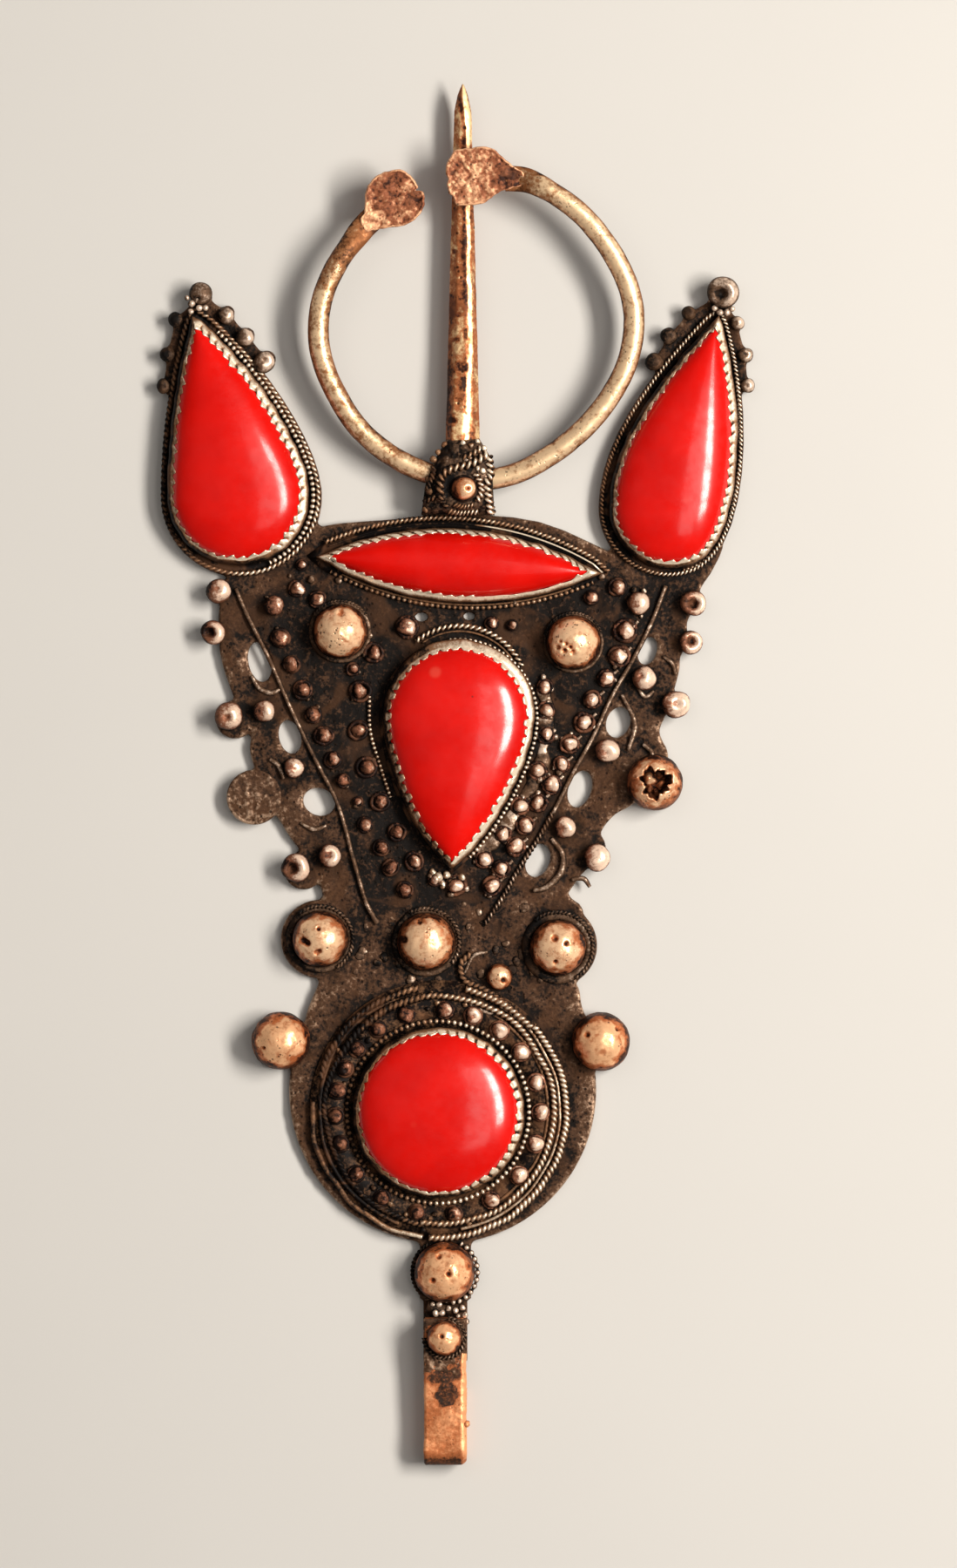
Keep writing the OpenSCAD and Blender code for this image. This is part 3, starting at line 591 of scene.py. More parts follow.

# Bezels: a wall round the stone whose toothed lip is folded over it. Along the edge each tooth rises slowly
# and falls steeply; notch makes them flat with narrow gaps between. leaf cuts dark grooves between the
# teeth, slanted across the lip where the outline faces leafOn, and across all of it if deep. wide broadens
# the lip the way it faces, and plain leaves out a stretch of teeth. dim sets the lip's painted shade where it
# faces left, away from the light, and under the wall's painted shade where it faces away from the light
bezelForm = {"wallOut": 0.58}
bezelKeys = ("pitch", "reach", "leaf", "slant", "plain", "dim", "under", "seed", "leafOn", "wide", "notch",
             "deep")
bezelRows = {
    "wing_left": (1.1, 0.5, 0.95, 0.7, (0, 0), 0.55, 0.3, 21, (1, 0.2, 0.1, 0.6), (1, 0, 0.28), 0.0, False),
    "wing_right": (1.1, 0.45, 0.9, 0.5, (0, 0), 0.6, 0.3, 31, (1, 0, 0.1, 0.6), (1, 0, 0.12), 0.0, False),
    "top": (1.15, 0.35, 1.0, 0.8, (0.3, 0.46), 1.0, 1.0, 41, (0, 1, -0.2, 0.3), (0, 1, -0.08), 0.0, True),
    "centre": (1.15, 0.62, 0.9, 0.1, (0, 0), 0.6, 0.3, 51, (-1, -0.3, 0.5, 0.9), (0.3, 1, 0.42), 1.0, False),
    "round": (1.15, 0.4, 1.0, 0.15, (0, 0), 0.45, 0.3, 61, (1, 0, -0.2, 0.4), (1, 0, 0.12), 0.3, True),
}


# Painted light and shade by the way a stretch faces: 1 where an outline faces right, towards the light, `low`
# where it faces left, away from it
def paintedLightByFacing(outward, low):
    return low + (1 - low) * smoothstep(outward[:, 0], -0.9, 0.4)


def bezel(shape, key):
    outline, b = outlines[key], dict(zip(bezelKeys, bezelRows[key]))
    run = np.arange(len(outline)) / len(outline)
    length = np.linalg.norm(outline - np.roll(outline, 1, 0), axis=1).sum()
    count = round(length / b["pitch"])
    # each tooth has its own length, and the pitch wanders a little, as hand-cut teeth do
    phase = run * count + ripple(raised(outline, 0), 6.0, b["seed"]) * 0.2
    own = np.random.default_rng(b["seed"]).uniform(0.4, 1.0, count)
    outward = normals(outline)
    heading = unitOf(outward)
    first, last = b["plain"]
    toothed = 1 - smoothstep(run, first - 0.02, first) * (1 - smoothstep(run, last, last + 0.02))
    # painted light: the lip is paler where it faces the light on the right, the outer wall darker where it
    # faces away
    paintedLight = paintedLightByFacing(heading, b["dim"])
    wallPaintedLight = b["under"] + (1 - b["under"]) * smoothstep(heading[:, 0] + 0.5 * heading[:, 1], -0.3, 0.5)
    leafy = b["leaf"] * smoothstep(heading @ b["leafOn"][:2], *b["leafOn"][2:])
    wobble = ripple(raised(outline, 0), 2.2, b["seed"] + 1) * 0.06
    wall = bezelForm["wallOut"] + b["wide"][2] * smoothstep(heading @ b["wide"][:2], 0.1, 0.9)
    z = level["lip"]
    rows = [  # out from the stone's edge, height, wear, how far along the lip, how much of the tooth's reach
        (wall + 0.02, level["plate"] - 0.02, 0.0, 0, 0), (wall, level["plate"] + 0.5, 0.0, 0, 0),
        (wall - 0.04, z - 0.5, 0.2, 0, 0), (wall - 0.12, z - 0.1, 0.45, 0.1, 0),
        (wall - 0.26, z + 0.1, 0.7, 0.3, 0), (0.22, z + 0.2, 0.85, 0.5, 0), (0.12, z + 0.26, 1.0, 0.65, 0.1),
        (0.05, z + 0.29, 1.0, 0.8, 0.45), (0.0, z + 0.3, 1.0, 1.0, 1.0), (-0.02, z + 0.2, 0.4, 1.0, 1.0),
        (0.08, z + 0.08, 0.0, 1.0, 0.5), (0.24, z + 0.02, 0.0, 0, 0), (0.2, z - 0.3, 0.0, 0, 0),
        (0.2, level["settingFloor"], 0.0, 0, 0),
    ]
    points, wears = [], []
    for out, height, wear, along, share in rows:
        here = phase + b["slant"] * (along - 1)
        within, tooth = here - np.floor(here), own[np.floor(here).astype(int) % count]
        saw = np.minimum(within / 0.78, (1 - within) / 0.22)
        flat = smoothstep(np.minimum(within, 1 - within), 0.04, 0.26)
        tall = (1 - b["notch"]) * np.minimum(saw, 0.85) + b["notch"] * flat * 0.8
        across = min(along * 2, 1) if b["deep"] else smoothstep(along, 0.3, 0.65)
        groove = leafy * (1 - smoothstep(saw, 0.08, 0.45)) * toothed * across
        steady = along == 0 and np.max(out) < 0.4  # the stone's side of the wall
        distance = out + wobble * (0 if steady else 1) - b["reach"] * tooth * tall * toothed * share
        top = height + (0.16 * saw * tooth * share - 0.13 * groove) * np.ones(len(outline))
        if share > 0.4:  # the teeth lie on the stone
            inward = np.maximum(0, -distance)
            skin = z + level["domeRise"] * (inward / crests[key]) ** stoneForm["fullness"]
            top = np.maximum(top, skin + (0.1 if wear > 0.5 else -0.06))
        points.append(raised(outline + outward * distance[:, None], top))
        shade = wallPaintedLight if np.max(out) > 0.15 else 1
        wears.append(wear * paintedLight * shade * (1 - 0.95 * groove) * (0.8 + 0.2 * tooth))
    shape.grid(np.stack(points), np.stack(wears), wrapRows=True)


# The part of an outline from start to stop, as shares of its length, moved out and shifted
def offsetPath(outline, distance, shift=(0, 0), height=1.5, start=0.0, stop=1.0):
    line = grow(outline, distance, 1.5) + shift
    first, last = int(start * len(line)), int(stop * len(line))
    return raised(line[np.arange(first, last) % len(line)], height)


# A level collar of metal between a bezel and its border wires, with a rim that goes down to the plate
def floorSheet(shape, outer, inner, height, wear=0.05):
    under = level["plate"] - 0.02
    rows = [raised(outer, under), raised(outer, height), raised(inner, height), raised(inner, under)]
    shape.grid(np.stack(rows), wear, wrapRows=True)


# Painted light used as wear along a line round a middle: high on its right side, towards the light, low times
# that on its left, in painted shade
def paintedLightRound(centre, low, high=1.0):
    def wear(path):
        return high * paintedLightByFacing(unitOf(path[:, :2] - centre), low)
    return wear


# Wear that changes evenly from a line's start to its end
def fading(first, last):
    def wear(path):
        return np.linspace(first, last, len(path))
    return wear


# painted highlight on the lens's border, on the right half that faces the light
def lensPaintedLight(path):  # bright on the lens's right half only
    return 0.1 + 1.0 * smoothstep(path[:, 0], 1.0, 5.0)


# Borders: how far out the floor goes and its shift, then the wires as kind, distance out, shift, height,
# start and stop along the outline, radius, pitch, wear, which for some wires is painted light from the right,
# and fill
borders = {
    "wing_left": (1.45, (0.3, -0.1), [
        ("rope", 1.42, (0.4, -0.12), 1.62, 0, 1, 0.31, 1.25, paintedLightRound(peaks["wing_left"], 0.3, 0.8), 0.3),
        ("beads", 0.98, (0.28, -0.05), 1.7, 0.52, 0.97, 0.29, 0.62, 0.95, 0),
        ("tube", 0.98, (0.1, -0.1), 1.5, 0.05, 0.4, 0.14, 0, 0.3, 0)]),
    "wing_right": (1.3, (-0.15, 0), [
        ("rope", 1.2, (-0.15, 0), 1.6, 0, 1, 0.28, 0.95, paintedLightRound(peaks["wing_right"], 0.5, 0.9), 0),
        ("beads", 0.86, (0.05, 0), 1.5, 0.55, 0.97, 0.17, 0.5, 0.7, 0)]),
    "top": (1.45, (0, 0.1), [
        ("rope", 1.38, (0, 0.22), 1.62, 0.5, 0.995, 0.33, 1.05, 0.62, 0.3),
        ("tube", 0.92, (0, 0.1), 1.6, 0.5, 0.99, 0.1, 0, lensPaintedLight, 0),
        ("beads", 1.12, (0, 0), 1.5, 0.02, 0.5, 0.25, 0.62, 0.5, 0),
        ("tube", 0.8, (0, 0), 1.42, 0.04, 0.46, 0.12, 0, 0.35, 0)]),
    "centre": (0.95, (0, 0), []),
}


def setting(key, addMore=None):
    shape, outline = Shape(), outlines[key]
    bezel(shape, key)
    if key in borders:
        out, shift, wires = borders[key]
        floorSheet(shape, grow(outline, out, 1.5) + shift, grow(outline, 0.4), 1.3)
        for kind, distance, moved, height, start, stop, radius, pitch, wear, fill in wires:
            path = offsetPath(outline, distance, moved, height, start, stop)
            wire(shape, kind, path, radius, pitch, wear, fill, closed=stop - start == 1)
    if addMore:
        addMore(shape, outline)
    shape.make("setting_" + key, "brooch", "worn_silver", silver["bezel"], "setting_" + key)


# The rope over the middle stone, the beads on its left, and solder and granules heaped under its tip as
# [x, y, radius]
crown = {"centre": (0.33, 8.8), "radius": 7.5, "from": 24, "to": 129,
         "leftBeads": [(-9.5, 8.6), (-9.4, 4.8), (-8.3, 1.0), (-7.2, -2.4)],
         "heap": [(-2.0, -11.2, 0.6), (-1.1, -10.9, 0.45), (-2.6, -10.6, 0.4), (-0.4, -11.6, 0.5),
                  (0.6, -11.2, 0.45), (-1.5, -12.0, 0.4)]}


def crownWires(shape, outline):
    c = crown
    rope(shape, arcPath(c["centre"], c["radius"], c["from"], c["to"], 1.6), 0.36, 1.2, wear=0.85)
    tube(shape, arcPath(c["centre"], c["radius"] - 0.56, 30, 125, 1.45), 0.12, wear=0.3)
    beads(shape, offsetPath(outline, 0.93, (0, 0), 1.5, 0.03, 0.52), 0.23, 0.55, wear=0.95)
    beads(shape, raised(through(c["leftBeads"]), 1.42), 0.22, 0.52, wear=0.7)
    for k, (x, y, r) in enumerate(c["heap"]):
        lump(shape, (x, y), r, level["plate"] + 0.45 * r, 540 + k, 0.65, rough=0.2, paintedLight=0.8)


# Wires round the round stone: kind, radius, from, to, thickness, pitch, height, wear on the right, which is
# painted light that falls to painted shade on the left. The loose end is the wire that curls away from the
# ring's top
roundRopes = {"centre": (-1.8, -36.6), "beadRadius": 9.95, "floorRadius": 14.2, "wires": [
    ("rope", 12.45, -100, 100, 0.42, 1.25, 1.8, 0.75), ("rope", 12.4, 100, 152, 0.5, 1.3, 1.8, 0.7),
    ("rope", 13.8, -95, 42, 0.46, 1.2, 1.85, 0.85), ("rope", 13.5, 42, 78, 0.46, 1.3, 1.9, 0.7),
    ("rope", 13.6, 100, 165, 0.42, 1.25, 1.8, 0.7), ("rope", 12.5, 152, 262, 0.38, 1.2, 1.65, 0.5),
    ("tube", 13.15, 112, 250, 0.24, 0, 1.55, 0.4), ("tube", 14.0, 176, 262, 0.28, 0, 1.75, 1.2),
    ("tube", 11.85, -60, 60, 0.2, 0, 1.5, 0.35), ("tube", 13.15, -80, 60, 0.2, 0, 1.6, 0.6)],
    "looseEnd": [(5.9, -25.3), (2.9, -23.3), (0.9, -22.4), (0.5, -20.6), (1.6, -19.4)]}


def roundWires(shape, outline):
    r, stone = roundRopes, roundStone
    ring = polar(1.0, np.linspace(0, 360, 400, endpoint=False))
    floorSheet(shape, ring * r["floorRadius"] + r["centre"], ring * (stone["radius"] + 0.4) + stone["centre"],
               1.46, 0.16)
    # the bead ring and the wires round the stone get painted light on their right and painted shade on their
    # left
    beads(shape, raised(roundOutline(stone["centre"], r["beadRadius"]), 1.6), 0.3, 0.66, closed=True,
          wear=paintedLightRound(stone["centre"], 0.35, 0.85))
    for kind, radius, start, stop, thick, pitch, height, wear in r["wires"]:
        path = arcPath(r["centre"], radius, start, stop, height)
        wander = ripple(path, 5.0, int(radius * 10)) * 0.1
        paintedLight = paintedLightRound(r["centre"], 0.18, wear)
        path[:, :2] += (path[:, :2] - r["centre"]) / radius * wander[:, None]
        wire(shape, kind, path, thick, pitch, paintedLight, 0.7)
    rope(shape, raised(through(r["looseEnd"], 14), 1.55), 0.42, 1.2, wear=0.4, fill=0.7)
    # lumps of solder between the wires
    dice = np.random.default_rng(77)
    for k in range(34):
        angle, out = dice.uniform(60, 300), dice.uniform(10.7, 13.4)
        at = np.array(r["centre"]) + polar(out, angle)
        lump(shape, at, dice.uniform(0.2, 0.42), 1.5, 700 + k, dice.uniform(0.1, 0.5), 9, 6, rough=0.3)


setting("wing_left")
setting("wing_right")
setting("top")
setting("centre", crownWires)
setting("round", roundWires)

print("stage: domes and granules")

# Domes: centre, radius, base ring radius, height of the base, and pits as [x, y, radius, depth]. Each
# stands on the plate unless it is said, and glow is a painted highlight towards its top
domeKeys = ("centre", "radius", "ring", "base", "pits")
domeRows = {
    "upper_left": ((-12.7, 15.7), 2.9, 3.45, 1.0, [(-12.6, 17.7, 0.3, 0.25)]),
    "upper_right": ((12.8, 14.5), 2.9, 3.35, 1.0, [
        (11.0, 13.9, 0.22, 0.3), (11.7, 13.5, 0.24, 0.35), (12.4, 13.9, 0.2, 0.3),
        (11.9, 14.3, 0.18, 0.25), (12.7, 13.4, 0.2, 0.3), (11.3, 14.6, 0.15, 0.2)]),
    "mid_left": ((-14.9, -17.9), 3.0, 3.7, 1.0, [
        (-16.7, -18.0, 0.3, 0.35), (-16.3, -18.3, 0.3, 0.35), (-15.2, -19.3, 0.2, 0.3),
        (-14.9, -19.2, 0.2, 0.3), (-15.0, -16.7, 0.18, 0.2)]),
    "mid_centre": ((-3.3, -18.2), 3.1, 3.8, 1.0, [(-5.8, -17.9, 0.3, 0.4), (-4.0, -16.0, 0.16, 0.2)]),
    "mid_right": ((11.1, -18.8), 3.0, 4.0, 1.0, [
        (10.7, -17.7, 0.28, 0.4), (12.0, -18.3, 0.2, 0.3), (10.8, -20.4, 0.22, 0.3)]),
    "small": ((4.7, -22.0), 1.4, 1.5, 0.5, [(5.2, -22.4, 0.25, 0.25)]),
    "low_left": ((-19.2, -29.0), 3.1, 3.2, 0.8, [(-21.0, -29.7, 0.16, 0.2)]),
    "low_right": ((15.8, -29.1), 3.1, 3.2, 0.8, [(14.2, -28.2, 0.25, 0.25), (17.6, -27.6, 0.2, 0.2)]),
    "tail_large": ((-1.3, -54.25), 3.25, 3.3, 1.2, [
        (-1.9, -52.35, 0.2, 0.3), (-0.8, -54.25, 0.22, 0.25), (-2.6, -55.0, 0.25, 0.3)]),
    "tail_small": ((-1.3, -61.3), 1.88, 2.1, 0.5, [(-1.6, -61.0, 0.2, 0.2)]),
}
domes = {name: dict(zip(domeKeys, row), on=level["plate"], glow=0) for name, row in domeRows.items()}
domes["upper_left"]["glow"] = 0.5
domes["upper_right"]["glow"] = 0.35
domes["tail_small"]["on"] = 3.6  # the strip's top


# A dome: a straight foot, then a sphere, dented by its pits and by a light hammering. Its rim stays dark,
# partly as dirt at its foot, partly as painted shade, and its top is pale, partly as rubbed metal, partly as
# a painted highlight
def domeSkin(shape, d, seed, rings=34, sides=80):
    base, r = d["on"], d["radius"]
    a = np.linspace(0, np.pi / 2 * 0.99, rings)
    across = np.concatenate([[r * 1.03, r], r * np.cos(a)])
    height = np.concatenate([[base - 0.02, base + d["base"] * 0.6], base + d["base"] + r * np.sin(a)])
    points = revolved(d["centre"], across, height, circle(sides))
    middle = np.array([*d["centre"], base + d["base"]])
    out = unitOf(points - middle)
    hammered = layered(points, seed, (2.4, 0.04), (0.8, 0.018))
    points = points + out * hammered[..., None]
    rising = np.concatenate([[0, 0], a])[:, None]
    rubbed = smoothstep(rising + ripple(points, 1.4, seed + 2) * 0.12, 0.3, 0.85)
    wear = 0.08 + 0.92 * rubbed + hammered * 1.5 + d["glow"] * smoothstep(rising, 0.3, 0.8)
    for px, py, pr, depth in d["pits"]:
        far = np.hypot(points[..., 0] - px, points[..., 1] - py) / (pr * 1.3)
        dent = np.exp(-far ** 4) * (points[..., 2] > middle[2])
        points = points - out * (dent * depth * 1.3)[..., None]
        wear = wear - dent * 1.1
    shape.grid(points, wear, capFirst=True, capLast=True)


# Twisted wires round the domes' base rings: how far in, height, radius, pitch, from, to
domeWires = {
    "mid_left": [(0.1, 0.42, 0.28, 0.9, -60, 130)], "mid_right": [(0.15, 0.42, 0.28, 0.9, -60, 130)],
    "mid_centre": [(0.15, 0.4, 0.3, 0.9, -40, 120)], "upper_left": [(0.1, 0.3, 0.2, 0.8, 30, 150)],
    "upper_right": [(0.1, 0.3, 0.2, 0.8, 20, 170)],
}
baseRings = Shape()
for index, (key, d) in enumerate(domes.items()):
    shape = Shape()
    domeSkin(shape, d, 100 + index)
    finish = "domeLow" if d["centre"][1] < -25 else "dome"
    shape.make("dome_" + key, "brooch", "warm_domes", silver[finish], "dome_" + key)
    # base rings and their wires get painted light on their right and painted shade on their left
    wide = (d["ring"] - d["radius"]) / 2
    if wide > 0.15:
        ring = raised(roundOutline(d["centre"], d["radius"] + wide, 0.15), d["on"] + 0.15)
        tube(baseRings, ring, wide, 0.26, closed=True, wear=paintedLightRound(d["centre"], 0.3, 0.5)(ring))
    for inset, height, radius, pitch, start, stop in domeWires.get(key, []):
        path = arcPath(d["centre"], d["ring"] - inset, start, stop, d["on"] + height)
        rope(baseRings, path, radius, pitch, wear=paintedLightRound(d["centre"], 0.2, 0.5), fill=0.5)
baseRings.make("dome_rings", "brooch", "worn_silver", silver["wire"])

# Rubble: x and y from the centre, size
brokenDome = {"centre": (21.7, -0.8), "radius": 3.0, "base": 0.9, "holeRadius": 1.7, "wall": 0.3,
              "rubble": [(-0.5, 0.45, 0.75), (0.55, -0.3, 0.6), (-0.7, -0.6, 0.5), (0.3, 0.8, 0.45),
                         (0.9, 0.5, 0.4), (0.0, -1.0, 0.4)]}


# The broken dome: an outer and an inner skin that meet at a ragged rim, with rubble inside
def domeBroken(sides=90, rows=16):
    shape, d, v = Shape(), brokenDome, circle(sides)
    ragged = d["holeRadius"] + 0.24 * np.sin(3 * v + 0.7) + 0.2 * np.sin(7 * v) + 0.14 * np.sin(13 * v + 2)
    r, base = d["radius"], level["plate"] + d["base"]
    rim = np.arccos(np.clip(ragged / r, 0, 1))
    t = np.linspace(0, 1, rows)[:, None]
    outer = np.stack([np.cos(rim * t), np.sin(rim * t)], -1)
    inner = outer[::-1] * ((r - d["wall"]) / r)
    foot = np.broadcast_to([r * 1.02, level["plate"] - base - 0.02], (1, sides, 2))
    section = np.concatenate([foot, outer * r, inner * r])
    points = revolved(d["centre"], section[..., 0], base + section[..., 1], v)
    points[..., :2] += (ripple(points, 1.6, 7) * 0.05)[..., None]
    rising = 0.05 + 0.75 * smoothstep(t[:, 0], 0.25, 0.85)
    wear = np.concatenate([[0.1], rising, np.linspace(0.7, 0.0, rows) ** 2])[:, None]
    shape.grid(points, wear + ripple(points, 1.0, 8) * 0.12, capLast=True, capFirst=True)
    for k, (dx, dy, size) in enumerate(d["rubble"]):
        at = np.array(d["centre"]) + (dx, dy)
        worn = 0.25 + 0.5 * (k == 0)
        lump(shape, at, size, level["plate"] + 0.7, 300 + k, worn, 16, 12, squash=1.3, rough=0.45)
    shape.make("dome_broken", "brooch", "warm_domes", silver["dome"], "dome_broken")


domeBroken()

# Fields of granules: wear, dent, slot, ball, then [x, y, radius and, for cup-like ones, the dent's depth].
# ball is the ball's share of a ringed granule's radius, or 0 where the granules are plain. Those left of
# the x given for painted light are dark, as painted shade away from the light on the right
fieldKeys = ("wear", "dent", "slot", "ball", "grains")
fieldRows = {
    "grains_edge_left": (1.0, 0.5, "warm_domes", 0, [
        (-26.0, 20.1, 1.35), (-26.6, 15.6, 1.35, 1.0), (-24.9, 6.4, 1.55), (-21.0, 7.0, 1.2),
        (-17.8, 0.8, 1.1), (-17.5, -10.1, 1.6, 1.0), (-13.8, -8.8, 1.3)]),
    "grains_edge_right": (1.1, 0.4, "warm_domes", 0, [
        (25.9, 18.8, 1.4, 1.0), (25.6, 14.4, 1.3, 0.9), (24.0, 7.8, 1.5), (20.5, 10.6, 1.3),
        (16.5, 2.7, 1.3), (11.9, -5.7, 1.2), (15.3, -9.0, 1.5, 0.1)]),
    "grains_row_left": (0.46, 0.2, "warm_domes", 0.9, [
        (-19.9, 18.5, 1.1), (-19.2, 15.0, 0.85), (-18.0, 12.1, 0.75), (-16.8, 9.3, 0.85),
        (-15.6, 6.6, 0.75), (-14.5, 4.3, 0.85), (-13.5, 1.7, 0.75), (-12.4, -0.6, 0.65),
        (-10.8, -2.9, 0.45), (-10.0, -5.4, 0.7), (-8.2, -7.9, 0.75), (-7.2, -10.1, 0.75),
        (-5.6, -12.5, 0.75)]),
    "grains_row_right": (1.0, 0.2, "warm_domes", 0.84, [
        (19.9, 18.8, 1.25), (18.5, 15.8, 1.05), (17.8, 13.0, 0.95), (16.4, 10.6, 0.8), (14.9, 8.3, 0.8),
        (14.0, 5.8, 0.9), (12.4, 3.4, 0.85), (11.5, 1.2, 0.75), (10.4, -1.0, 0.9), (8.9, -3.0, 0.85),
        (7.5, -5.5, 0.85), (6.5, -7.8, 0.85), (4.9, -10.2, 0.8), (3.9, -12.1, 0.85)]),
    "grains_inner_left": (0.5, 0.35, "dark_grains", 0.76, [
        (-10.5, 9.2, 0.95), (-10.7, 4.9, 0.85), (-9.8, 0.9, 0.95), (-8.3, -2.9, 0.85), (-6.5, -6.2, 0.8),
        (-4.6, -9.4, 0.85), (-11.3, 11.6, 0.6), (-9.0, 13.4, 0.9)]),
    "grains_inner_right": (0.95, 0.35, "dark_grains", 0.84, [
        (9.7, 9.7, 0.7), (9.8, 7.1, 0.8), (9.8, 4.4, 0.8), (8.9, 0.5, 0.85), (7.0, -3.3, 0.85),
        (5.1, -6.4, 0.75), (3.0, -9.2, 0.8), (0.0, -12.0, 0.9), (-2.3, -11.4, 0.6)]),
    "grains_top": (0.6, 0.3, "dark_grains", 0.9, [
        (-17.4, 20.4, 0.75), (-15.2, 19.2, 0.75), (-5.4, 16.2, 1.0), (3.9, 16.6, 0.6), (6.1, 16.4, 0.5),
        (14.8, 19.4, 0.65), (17.6, 20.6, 0.8), (-16.9, 23.0, 0.5)]),
    "grains_wing_left": (0.85, 0.2, "dark_grains", 0, [
        (-25.2, 50.2, 0.95), (-23.1, 47.8, 1.05), (-21.0, 45.1, 1.2), (-30.7, 49.8, 0.8),
        (-31.6, 46.0, 0.85), (-32.0, 42.5, 0.8)]),
    "grains_wing_right": (0.85, 0.3, "dark_grains", 0, [
        (30.7, 49.4, 0.8), (31.6, 45.9, 0.85), (31.8, 42.6, 0.8), (25.4, 50.5, 0.8), (23.2, 48.0, 0.9),
        (21.6, 45.2, 1.0)]),
}
grainFields = {name: dict(zip(fieldKeys, row), seat=0.55, finish="grain", brightFrom=-99)
               for name, row in fieldRows.items()}
grainFields["grains_wing_left"].update(seat=0.35, finish="wire", brightFrom=-26)
grainFields["grains_wing_right"].update(seat=0.35, finish="wire", brightFrom=28)


def grainField(name, field, seed):
    shape, dice = Shape(), np.random.default_rng(seed)
    for k, (x, y, r, *cup) in enumerate(field["grains"]):
        depth = cup[0] if cup else field["dent"] * dice.uniform(0.3, 1.0)
        at = dice.uniform(-0.3, 0.15), dice.uniform(-0.2, 0.2)
        dent = (*at, 0.5 if cup else dice.uniform(0.28, 0.45), depth)
        wear = field["wear"] * dice.uniform(0.75, 1.0) * (1 if x > field["brightFrom"] else 0.3)
        if field["ball"] and r < 1.1:
            ringed(shape, (x, y), r * 1.08, seed * 50 + k, wear, field["ball"])
        else:
            height = level["plate"] + field["seat"] * r
            lump(shape, (x, y), r, height, seed * 50 + k, wear, 24, 15, dent, 0.95, paintedLight=0.8)
    shape.make(name, "brooch", field["slot"], silver[field["finish"]], name)


for index, (name, field) in enumerate(grainFields.items()):
    grainField(name, field, 400 + index)

# Granules round the round stone: angle and size, larger at the top and on the right, and paler there as
# painted light
roundGrains = {"radius": 11.2, "angles": (0, 17, 36, 53, 70, 86, 108, 126, 142, 155, 168, 182, 198, 217, 237,
                                          258, 279, 301, 322, 342)}
shape = Shape()
for k, angle in enumerate(roundGrains["angles"]):
    at = np.array(roundStone["centre"]) + polar(roundGrains["radius"], angle)
    dent = (chance.uniform(-0.3, 0.3), chance.uniform(-0.3, 0.3), 0.35, chance.uniform(0.05, 0.3))
    glow = smoothstep(np.cos(np.radians(angle - 10)), -0.3, 0.8)
    size = 0.8 + 0.12 * glow * chance.uniform(0.4, 1.2)
    lump(shape, at, size, level["settingFloor"] + 0.35, 900 + k, 0.3 + 0.6 * glow, 20, 14, dent, rough=0.12,
         paintedLight=0.9)
    ring = raised(roundOutline(at, size * 1.02, 0.2), level["settingFloor"] + 0.1)
    tube(shape, ring, 0.2, closed=True, sides=8, wear=0.1 + 0.35 * glow)
shape.make("grains_round", "brooch", "worn_silver", silver["grain"], "grains_round")

# Balls at the wings' tips: the left one has a heap of tiny granules below it, the right one a hollow crown
tipBalls = {"left": {"ball": (-27.9, 52.6, 1.25), "dent": (-0.3, -0.45, 0.25, 0.3), "wear": 0.6,
                     "crumbs": [(-28.6, 52.7, 0.42), (-28.2, 51.9, 0.45), (-28.9, 51.5, 0.42),
                                (-28.1, 51.0, 0.38), (-29.0, 50.6, 0.34), (-27.4, 51.0, 0.34),
                                (-29.4, 52.1, 0.3)]},
            "right": {"ball": (29.15, 52.7, 1.75), "dent": (-0.1, -0.1, 0.5, 0.7), "wear": 0.8,
                      "crumbs": [(29.5, 50.5, 0.42), (28.8, 50.5, 0.4), (28.2, 51.0, 0.36),
                                 (30.1, 50.9, 0.32)]}}
for side, tip in tipBalls.items():
    shape, (x, y, r) = Shape(), tip["ball"]
    lump(shape, (x, y), r, level["plate"] + 0.55 * r, 60, tip["wear"], 40, 26, tip["dent"], 1.0, 0.03)
    for k, (cx, cy, cr) in enumerate(tip["crumbs"]):
        lump(shape, (cx, cy), cr, level["plate"] + 1.0, 70 + k, 1.0)
    shape.make("tip_ball_" + side, "brooch", "worn_silver", silver["wire"], "tip_ball_" + side)

print("stage: wires and curls")

# Wires on the plate, as points along their middle
fieldWires = {
    "left": [(-24.1, 20.4), (-22.9, 17.6), (-20.5, 12.8), (-18.0, 7.1), (-15.4, 1.7), (-12.9, -3.3),
             (-11.3, -9.0), (-9.9, -13.8), (-8.6, -16.2)],
    "right": [(22.9, 20.7), (21.3, 16.6), (19.4, 12.8), (17.0, 8.6), (15.0, 4.3), (12.9, 0.5), (11.0, -3.3),
              (9.1, -6.7), (7.0, -10.0), (5.1, -13.3), (3.1, -16.3)],
}
wireForm = {"radius": 0.25, "height": 1.44, "twistPitch": 1.0, "twistFrom": 0.62}
leftLine = raised(through(fieldWires["left"]), wireForm["height"])
shape = Shape()
tube(shape, leftLine, wireForm["radius"] * (1 + 0.6 * np.linspace(0, 1, len(leftLine)) ** 12), wear=0.5)
shape.make("wire_left", "brooch", "worn_silver", silver["wire"], "wire_left")
rightLine = raised(through(fieldWires["right"]), wireForm["height"])
cut = int(len(rightLine) * wireForm["twistFrom"])
shape = Shape()
tube(shape, rightLine[: cut + 1], wireForm["radius"], wear=0.6)
rope(shape, rightLine[cut:], wireForm["radius"] * 1.25, wireForm["twistPitch"], wear=0.65)
shape.make("wire_right", "brooch", "worn_silver", silver["wire"], "wire_right")

